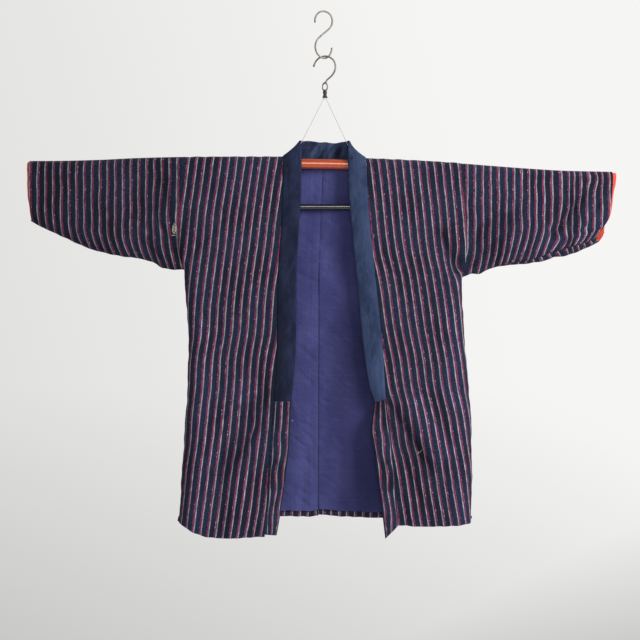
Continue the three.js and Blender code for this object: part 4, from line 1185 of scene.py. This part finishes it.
def navy_cotton():
    """Plain navy cotton, darker on the wearer's right and most of all beside that seam."""
    n = Nodes("navy_cotton")
    uv, across, along = n.cloth_place()
    cloud = n.mottle(uv, 26, 11, 4.0)
    rub = n.noise(n.slanted(uv, 32, 70, 16), 1.0, 3.0, 0.6)
    streak = n.mottle(uv, 160, 3)
    thread = n.mottle(uv, 1500, 300, 2.0)
    to_left = n.ramp(along, 0.45, 0.85)
    deep = n.blend(to_left, srgb(17, 20, 38), srgb(35, 45, 72))
    pale = n.blend(to_left, srgb(34, 42, 68), srgb(54, 68, 98))
    color = n.blend(n.ramp(cloud, 0.3, 0.7), deep, pale)
    color = n.blend(n.ramp(rub, 0.5, 0.68, 0.0, 0.5), color, pale)
    color = n.tint(color, along, 1.06, 1.17, 0.55, (68, 84, 122))
    color = n.blend(n.ramp(streak, 0.4, 0.62, 0.0, 0.3), color, deep)
    beside_seam = n.times(n.ramp(across, 0.03, 0.004), n.ramp(along, 0.4, 0.15))
    color = n.blend(n.times(beside_seam, 0.6), color, srgb(13, 13, 22))
    # The back of the neck is the most crumpled and shows the most wear: its lighter patches are partly
    # wear and partly painted highlight, its darker ones are painted shade in the wrinkles.
    neck = n.spot(along, 0.635, 0.14)
    wear_and_wrinkle_shading = n.noise(n.slanted(uv, 62, 62, 20), 1.0, 3.0, 0.6)
    color = n.blend(n.times(neck, n.ramp(wear_and_wrinkle_shading, 0.5, 0.68)), color, srgb(54, 66, 92))
    color = n.blend(n.times(neck, n.ramp(wear_and_wrinkle_shading, 0.48, 0.36, 0.0, 0.8)), color, srgb(17, 19, 31))
    color = n.tint(color, thread, 0.55, 0.8, 0.25, (62, 72, 100))
    soft = n.woven(uv, across, along, thread, 0.6)
    crease = n.bump(n.noise(n.slanted(uv, 25, 60, 20), 1.0, 3.0, 0.6), 0.7, 0.006, soft)
    return n.finish(color, crease, 0.92, sheen=0.02, specular=0.1)


def back_lining_cotton():
    """Purple cotton with a dark seam down the middle, faint press lines and fine wrinkles, a painted
    shadow on one side and painted light and shade on the wrinkles.
    """
    n = Nodes("lining_cotton")
    uv, across, along = n.cloth_place()
    cloud = n.mottle(uv, 14, 9, 4.0)
    warp = n.mottle(uv, 260, 5)
    weft = n.mottle(uv, 8, 420, 2.0)
    thread = n.mottle(uv, 1300, 700, 2.0)
    color = n.two_tone(cloud, 0.3, 0.7, (48, 50, 96), (64, 67, 116))
    # Painted shadow of the wearer's left front, over the lining's part on that side, growing downwards
    # and strongest low down.
    deepest_shadow = n.times(n.spot(along, -0.43, 0.13), 0.28)
    painted_shadow = n.plus(n.ramp(along, -0.15, -0.42, 0.35, 0.55), deepest_shadow)
    painted_shadow = n.times(n.ramp(across, -0.02, 0.06), painted_shadow)
    color = n.blend(painted_shadow, color, srgb(29, 30, 66))
    color = n.tint(color, warp, 0.45, 0.68, 0.3, (46, 45, 88))
    color = n.tint(color, weft, 0.5, 0.72, 0.08, (80, 80, 128))
    color = n.tint(color, thread, 0.5, 0.8, 0.25, (92, 91, 140))
    fleck = n.times(n.spot(across, -0.0542, 0.0022), n.spot(along, -0.5545, 0.0013))
    color = n.blend(n.times(fleck, n.ramp(thread, 0.35, 0.55)), color, srgb(170, 168, 190))
    seam = n.ramp(n.math("ABSOLUTE", across), 0.0006, 0.0022, 0.7, 0.0)
    seam = n.times(seam, n.ramp(along, -0.3, -0.12, 1.0, 0.35))
    color = n.blend(seam, color, srgb(30, 28, 58))
    for place, strength in ((-0.016, 0.4), (-0.0285, 0.3), (0.031, 0.2)):
        line = n.ramp(n.off(across, place), 0.0004, 0.0014, strength, 0.0)
        fading = n.times(line, n.ramp(along, -0.42, -0.2, 0.25, 1.0))
        color = n.blend(fading, color, srgb(44, 42, 86))
    slant = n.noise(n.slanted(uv, 38, 24, 85), 1.0, 4.0, 0.65)
    cross = n.noise(n.slanted(uv, 8, 30, 100), 1.0, 4.0, 0.65)
    crumple = n.plus(n.times(slant, 0.8), n.times(cross, 0.6))
    # The wrinkles' highs are painted lighter and their lows darker: painted light and shade.
    color = n.tint(color, crumple, 0.74, 0.88, 0.07, (84, 86, 136))
    color = n.tint(color, crumple, 0.66, 0.52, 0.09, (38, 38, 80))
    fine = n.bump(n.plus(n.weave(across, along, 0.0006), thread), 0.3, 0.0003)
    soft = n.bump(crumple, 0.65, 0.0045, fine)
    return n.finish(color, soft, 0.86, sheen=0.06, specular=0.15)


def object_noise(n, scale, stretch=(1, 1, 1), detail=3.0):
    place = n.new("ShaderNodeTexCoord").outputs["Object"]
    return n.noise(n.scaled(place, *stretch), scale, detail)


def lacquer():
    n = Nodes("lacquered_wood")
    grain = object_noise(n, 60, (0.05, 1, 1), 4.0)
    cloud = object_noise(n, 18)
    color = n.two_tone(grain, 0.35, 0.65, (148, 54, 10), (168, 66, 18))
    color = n.tint(color, cloud, 0.45, 0.7, 0.4, (136, 47, 11))
    normal = n.bump(cloud, 0.02, 0.002)
    rough = n.ramp(cloud, 0.3, 0.7, 0.45, 0.55)
    more = {"Coat_Weight": 1.0, "Coat_Roughness": 0.24, "Coat_IOR": 1.6}
    return n.finish(color, normal, rough, specular=0.1, **more)


def hard(name, dark, light, rough=(0.25, 0.4), relief=0.05, specular=0.5, **more):
    """A hard material of two close tones."""
    n = Nodes(name)
    cloud = object_noise(n, 90)
    color = n.two_tone(cloud, 0.35, 0.65, dark, light)
    normal = n.bump(object_noise(n, 240), relief, 0.0003)
    return n.finish(color, normal, n.ramp(cloud, 0.3, 0.7, *rough), specular=specular, **more)


STRIPED = striped_cotton("striped_cotton", 1.0)
# A darker copy of the striped cloth: painted shade for the right sleeve, which is away from the light.
STRIPED_PAINTED_SHADE = striped_cotton("striped_cotton_painted_shade", 0.76)
NAVY = navy_cotton()
PURPLE = plain_cotton("purple_cotton", (46, 45, 86), (62, 62, 108), 150, puff=0.5)
RED = plain_cotton("red_cotton", (188, 62, 48), (218, 88, 70), 300)
BACK_LINING = back_lining_cotton()
THREAD = plain_cotton("light_thread", (176, 168, 150), (206, 198, 182), 300)
LACQUER = lacquer()
GLOSS = {"Coat_Weight": 1.0, "Coat_IOR": 1.54, "Coat_Roughness": 0.17}
BLACK = hard("black_lacquer", (12, 12, 16), (19, 19, 25), (0.4, 0.5), 0.02, 0.1, **GLOSS)
BEAD = hard("black_bead", (26, 24, 26), (44, 40, 42), (0.25, 0.4))
STEEL = hard("steel_wire", (116, 111, 105), (150, 145, 139), (0.55, 0.65), 0.0, Metallic=0.75)
CORD = hard("clear_cord", (160, 159, 155), (174, 173, 169), (0.9, 0.95), 0.0, 0.1)


# ---- The hanger ----
POLE_ENDS = (-598, 582)
BAR_HALF = 210
BAR_DROP = 104
WIRE = 1.8
HOOK_BALL = 2.5
HOOK_TURN = -23
S_TURN = 23
EYE = (2.2, -157)
HOOK_LINE = [
    (-21, -111), (-17.5, -103), (-10.5, -95.8), (0, -92.6), (11, -95), (20, -102.5), (24, -113),
    (22.5, -125), (16, -135), (7.5, -142), (3, -148.4),
]
S_LINE = [
    (-19, -24), (-17.5, -12), (-10.5, -1.8), (0, 1.8), (11, -1.8), (17, -11), (17, -23),
    (11.5, -33.5), (-6, -50), (-15, -61), (-18, -74), (-15, -86), (-8, -94), (0, -96.8),
    (8.5, -93.5), (14.5, -84.5), (17, -73),
]


def round_bar(name, path, radius, material, sides=40, end_round=0.6):
    """A round bar along a path, its ends eased over."""
    path = np.array(path, float)
    lengths = np.concatenate([[0], np.cumsum(np.linalg.norm(np.diff(path, axis=0), axis=1))])
    ease = radius * end_round
    extra = ease * (1 - np.cos(np.linspace(0, math.pi / 2, 6)))
    total = lengths[-1]
    between = lengths[(lengths > ease) & (lengths < total - ease)]
    stations = np.unique(np.concatenate([extra, between, total - extra]))
    centre = np.stack([np.interp(stations, lengths, path[:, k]) for k in range(3)], -1)
    inset = np.minimum(stations, total - stations)
    size = radius - ease + ease * np.sqrt(1 - np.clip(1 - inset / ease, 0, 1) ** 2)
    along = np.gradient(centre, axis=0)
    along /= np.linalg.norm(along, axis=1, keepdims=True)
    side = np.cross(along, [0.0, 1.0, 0.0])
    side /= np.linalg.norm(side, axis=1, keepdims=True)
    up = np.cross(side, along)
    turn = np.linspace(0, 2 * math.pi, sides, endpoint=False)
    ring = side[:, None] * np.cos(turn)[None, :, None] + up[:, None] * np.sin(turn)[None, :, None]
    points = centre[:, None] + ring * size[:, None, None]
    count = len(stations)
    i, j = np.meshgrid(np.arange(count - 1), np.arange(sides), indexing="ij")
    i, j = i.ravel(), j.ravel()
    after = (j + 1) % sides
    this_ring, next_ring = i * sides, (i + 1) * sides
    quads = np.stack([this_ring + j, this_ring + after, next_ring + after, next_ring + j], 1)
    start_cap, end_cap = range(sides)[::-1], range((count - 1) * sides, count * sides)
    faces = quads.tolist() + [list(start_cap), list(end_cap)]
    mesh = bpy.data.meshes.new(name)
    mesh.from_pydata((points.reshape(-1, 3) * MM).tolist(), [], faces)
    mesh.materials.append(material)
    return finished(name, mesh, 35)


def turned(line, turn):
    """A hook's flat line, turned about the upright by an angle in degrees."""
    points = np.array([(x, x * math.tan(math.radians(turn)), z) for x, z in line])
    return fine_path(points, 8)


def hanger():
    xs = np.linspace(*POLE_ENDS, 90)
    z = SHOULDER_Z - SHOULDER_LINE(xs - GARMENT_X) - FOLD_RADIUS
    pole = round_bar("lacquered_pole", np.stack([xs, 0 * xs, z], -1), POLE_RADIUS, LACQUER, 64, 0.25)
    stand_in(pole, "pole")
    ends = np.linspace(-BAR_HALF, BAR_HALF, 12)
    bar_path = np.stack([ends, 0 * ends, 0 * ends + SHOULDER_Z - BAR_DROP - BAR_GROWTH], -1)
    bar = round_bar("black_bar", bar_path, BAR_RADIUS + BAR_GROWTH, BLACK, 48, 0.9)
    stand_in(bar, "lower_bar")
    s_hook = round_bar("wire_s_hook", turned(S_LINE, S_TURN), WIRE, STEEL, 20, 0.9)
    stand_in(s_hook, "s_hook")
    hook = round_bar("wire_hook", turned(HOOK_LINE, HOOK_TURN), WIRE, STEEL, 20, 0.9)
    hook = joined(hook, eye_ring(), hook_ball())
    stand_in(hook, "hanger_hook")
    for side in ("right", "left"):
        for cord in ("upper_cord", "lower_cord"):
            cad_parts[f"{cord}_{side}"].material_slots[0].material = CORD
    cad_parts["bead"].material_slots[0].material = BEAD


def eye_ring():
    """The hook's eye: wire bent to an oval."""
    steps, sides = 48, 14
    wide, tall, wire = 5.6, 8.2, 1.4
    turn = np.linspace(0, 2 * math.pi, steps, endpoint=False)
    tube = np.linspace(0, 2 * math.pi, sides, endpoint=False)
    radius = wide + wire * np.cos(tube)[None]
    x = radius * np.cos(turn)[:, None]
    z = radius * np.sin(turn)[:, None] * (tall / wide)
    y = np.broadcast_to(wire * np.sin(tube)[None], x.shape)
    angle = math.radians(HOOK_TURN)
    world_x = x * math.cos(angle) - y * math.sin(angle) + EYE[0]
    world_y = x * math.sin(angle) + y * math.cos(angle) + EYE[0] * math.tan(angle)
    points = np.stack([world_x, world_y, z + EYE[1]], -1).reshape(-1, 3) * MM
    faces = []
    for i, j in np.ndindex(steps, sides):
        here, there, after = i * sides, (i + 1) % steps * sides, (j + 1) % sides
        faces.append((here + j, there + j, there + after, here + after))
    mesh = bpy.data.meshes.new("eye")
    mesh.from_pydata(points.tolist(), [], faces)
    mesh.materials.append(STEEL)
    return finished("eye", mesh)


def hook_ball():
    """The small ball on the hook's tip."""
    x, z = HOOK_LINE[0]
    bpy.ops.mesh.primitive_uv_sphere_add(segments=24, ring_count=16, radius=HOOK_BALL * MM)
    ball = bpy.context.object
    ball.location = Vector((x, x * math.tan(math.radians(HOOK_TURN)), z)) * MM
    ball.data.materials.append(STEEL)
    ball.data.polygons.foreach_set("use_smooth", [True] * len(ball.data.polygons))
    return ball


def joined(first, *others):
    bpy.ops.object.select_all(action="DESELECT")
    for piece in (first, *others):
        piece.select_set(True)
    bpy.context.view_layer.objects.active = first
    bpy.ops.object.join()
    return first


# ---- Threads: the darned mend and a few loose ends ----
def on_front(half, out, drop, lift):
    """Points laid on the front's outer face."""
    out, drop = np.asarray(out, float), np.asarray(drop, float)
    up = half.underarm(out) - drop if np.all(out > half.armhole(drop)) else half.outer(drop) - out
    y = layer_y(half, FRONT, out, drop, up)
    return half.at(out, y - OUTSIDE - lift, drop)


MEND = (316.2, 151)  # its middle on the right sleeve, out and drop
MEND_HALF_WIDTHS = (1.4, 2.8, 3.8, 4.6, 4.8, 4.6, 3.6, 2.0)
MEND_ROW_GAP = 3.1


def threads():
    made = []

    def thread(half, out, drop, radius, lift):
        path = on_front(half, out, drop, lift)
        made.append(round_bar("thread", path, radius, THREAD, 8, 0.6))

    out, drop = MEND
    for row, reach in enumerate(MEND_HALF_WIDTHS):
        at = drop + MEND_ROW_GAP * (row - (len(MEND_HALF_WIDTHS) - 1) / 2)
        across = np.linspace(-reach, reach, 9)
        thread(RIGHT, out + across, at + 0.25 * across, 0.5, 0.5 + 0.35 * np.cos(across * 1.6))
    for column in (-3, 3.2):
        down = np.linspace(-10.5 + abs(column), 10.5 - abs(column), 9)
        thread(RIGHT, out + column + 0.12 * down, drop + down, 0.36, 0.9 + 0.3 * np.sin(down * 1.4))
    step = np.linspace(0, 1, 7)
    thread(RIGHT, out - 2 + 8 * step, drop + 14.5 + 0.4 * np.sin(9 * step), 0.36, 0.5)
    thread(LEFT, 192.5 + 9 * step, 622 - 8.5 * step + np.sin(3 * step), 0.28, 0.6)
    thread(LEFT, 194 - 2 * step, 617 + 6 * step, 0.28, 0.6)
    thread(LEFT, 99 + 2.5 * step + np.sin(4 * step), 163 + 7 * step, 0.28, 0.6)
    mend = joined(*made)
    mend.name = "mend_threads"
    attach(mend, "root")


# ---- Camera, light and floor ----
CAMERA_AT = (-0.0082, -3.0, -0.6464)
VIEW_WIDTH = 1.344  # across the picture at the garment, in metres
SENSOR_WIDTH = 36
LIGHTS_AIM = (0, 0, -0.65)
FLOOR_Z = -1.8


def studio():
    scene = bpy.context.scene
    scene.view_settings.view_transform = "Standard"
    camera = bpy.data.cameras.new("camera")
    camera.sensor_width = SENSOR_WIDTH
    camera.lens = SENSOR_WIDTH * -CAMERA_AT[1] / VIEW_WIDTH
    holder = bpy.data.objects.new("camera", camera)
    holder.location = CAMERA_AT
    holder.rotation_euler = (math.radians(90), 0, 0)
    scene.collection.objects.link(holder)
    scene.camera = holder

    world = bpy.data.worlds.new("pale_room")
    world.use_nodes = True
    pale_room(world.node_tree)
    scene.world = world

    area_light("window", (2.3, -1.6, 0.7), (1.2, 1.2), 115, (1.0, 0.985, 0.96))
    area_light("front", (0.0, -1.9, -0.06), (0.5, 0.55), 12, (1.0, 0.99, 0.98))

    floor_mesh = bpy.data.meshes.new("floor")
    corners = [(x, y, FLOOR_Z) for x, y in ((-2.4, -2.0), (2.4, -2.0), (2.4, 1.8), (-2.4, 1.8))]
    floor_mesh.from_pydata(corners, [], [(0, 1, 2, 3)])
    n = Nodes("pale_floor")
    tone = n.two_tone(object_noise(n, 3), 0.3, 0.7, (226, 225, 222), (236, 235, 232))
    floor_mesh.materials.append(n.finish(tone, None, 0.9))
    floor = bpy.data.objects.new("floor", floor_mesh)
    scene.collection.objects.link(floor)


def pale_room(tree):
    """Pale all round. Behind the garment it is brighter to the right and above, and dimmer
    low down and in the low right corner."""

    def node(kind, *values, operation=None):
        made = tree.nodes.new(kind)
        if operation:
            made.operation = operation
        for socket, value in zip(made.inputs, values):
            if isinstance(value, bpy.types.NodeSocket):
                tree.links.new(value, socket)
            else:
                socket.default_value = value
        return made.outputs[0]

    place = tree.nodes.new("ShaderNodeTexCoord")
    way = tree.nodes.new("ShaderNodeSeparateXYZ")
    tree.links.new(place.outputs["Generated"], way.inputs[0])
    right, back, up = way.outputs
    behind = node("ShaderNodeMapRange", back, -0.2, 0.4, 0.0, 1.0)
    slope = node("ShaderNodeMath", right, 0.46, operation="MULTIPLY")
    slope = node("ShaderNodeMath", up, 0.12, slope, operation="MULTIPLY_ADD")
    dim = node("ShaderNodeMapRange", up, -0.25, -0.045, -0.185, 0.0)
    to_corner = node("ShaderNodeMath", up, -2.0, right, operation="MULTIPLY_ADD")
    corner = node("ShaderNodeMapRange", to_corner, 0.49, 0.66, 0.0, -0.2)
    extra = node("ShaderNodeMath", slope, dim, operation="ADD")
    extra = node("ShaderNodeMath", extra, 0.51, operation="ADD")
    extra = node("ShaderNodeMath", extra, 0.57, operation="MINIMUM")
    extra = node("ShaderNodeMath", extra, corner, operation="ADD")
    strength = node("ShaderNodeMath", extra, behind, 0.35, operation="MULTIPLY_ADD")
    background = tree.nodes["Background"]
    background.inputs[0].default_value = (1.0, 0.995, 0.985, 1)
    tree.links.new(strength, background.inputs[1])


def area_light(name, place, size, power, color):
    light = bpy.data.lights.new(name, "AREA")
    light.shape = "RECTANGLE"
    light.size, light.size_y = size
    light.energy = power
    light.color = color
    holder = bpy.data.objects.new(name, light)
    holder.location = place
    aim = Vector(LIGHTS_AIM) - Vector(place)
    holder.rotation_euler = aim.to_track_quat("-Z", "Y").to_euler()
    bpy.context.scene.collection.objects.link(holder)


studio()
for half in HALVES:
    back_lining(half, body(half))
    sleeve(half)
    cuff_lining(half)
    collar_tail(half)
over_collar()
threads()
hanger()
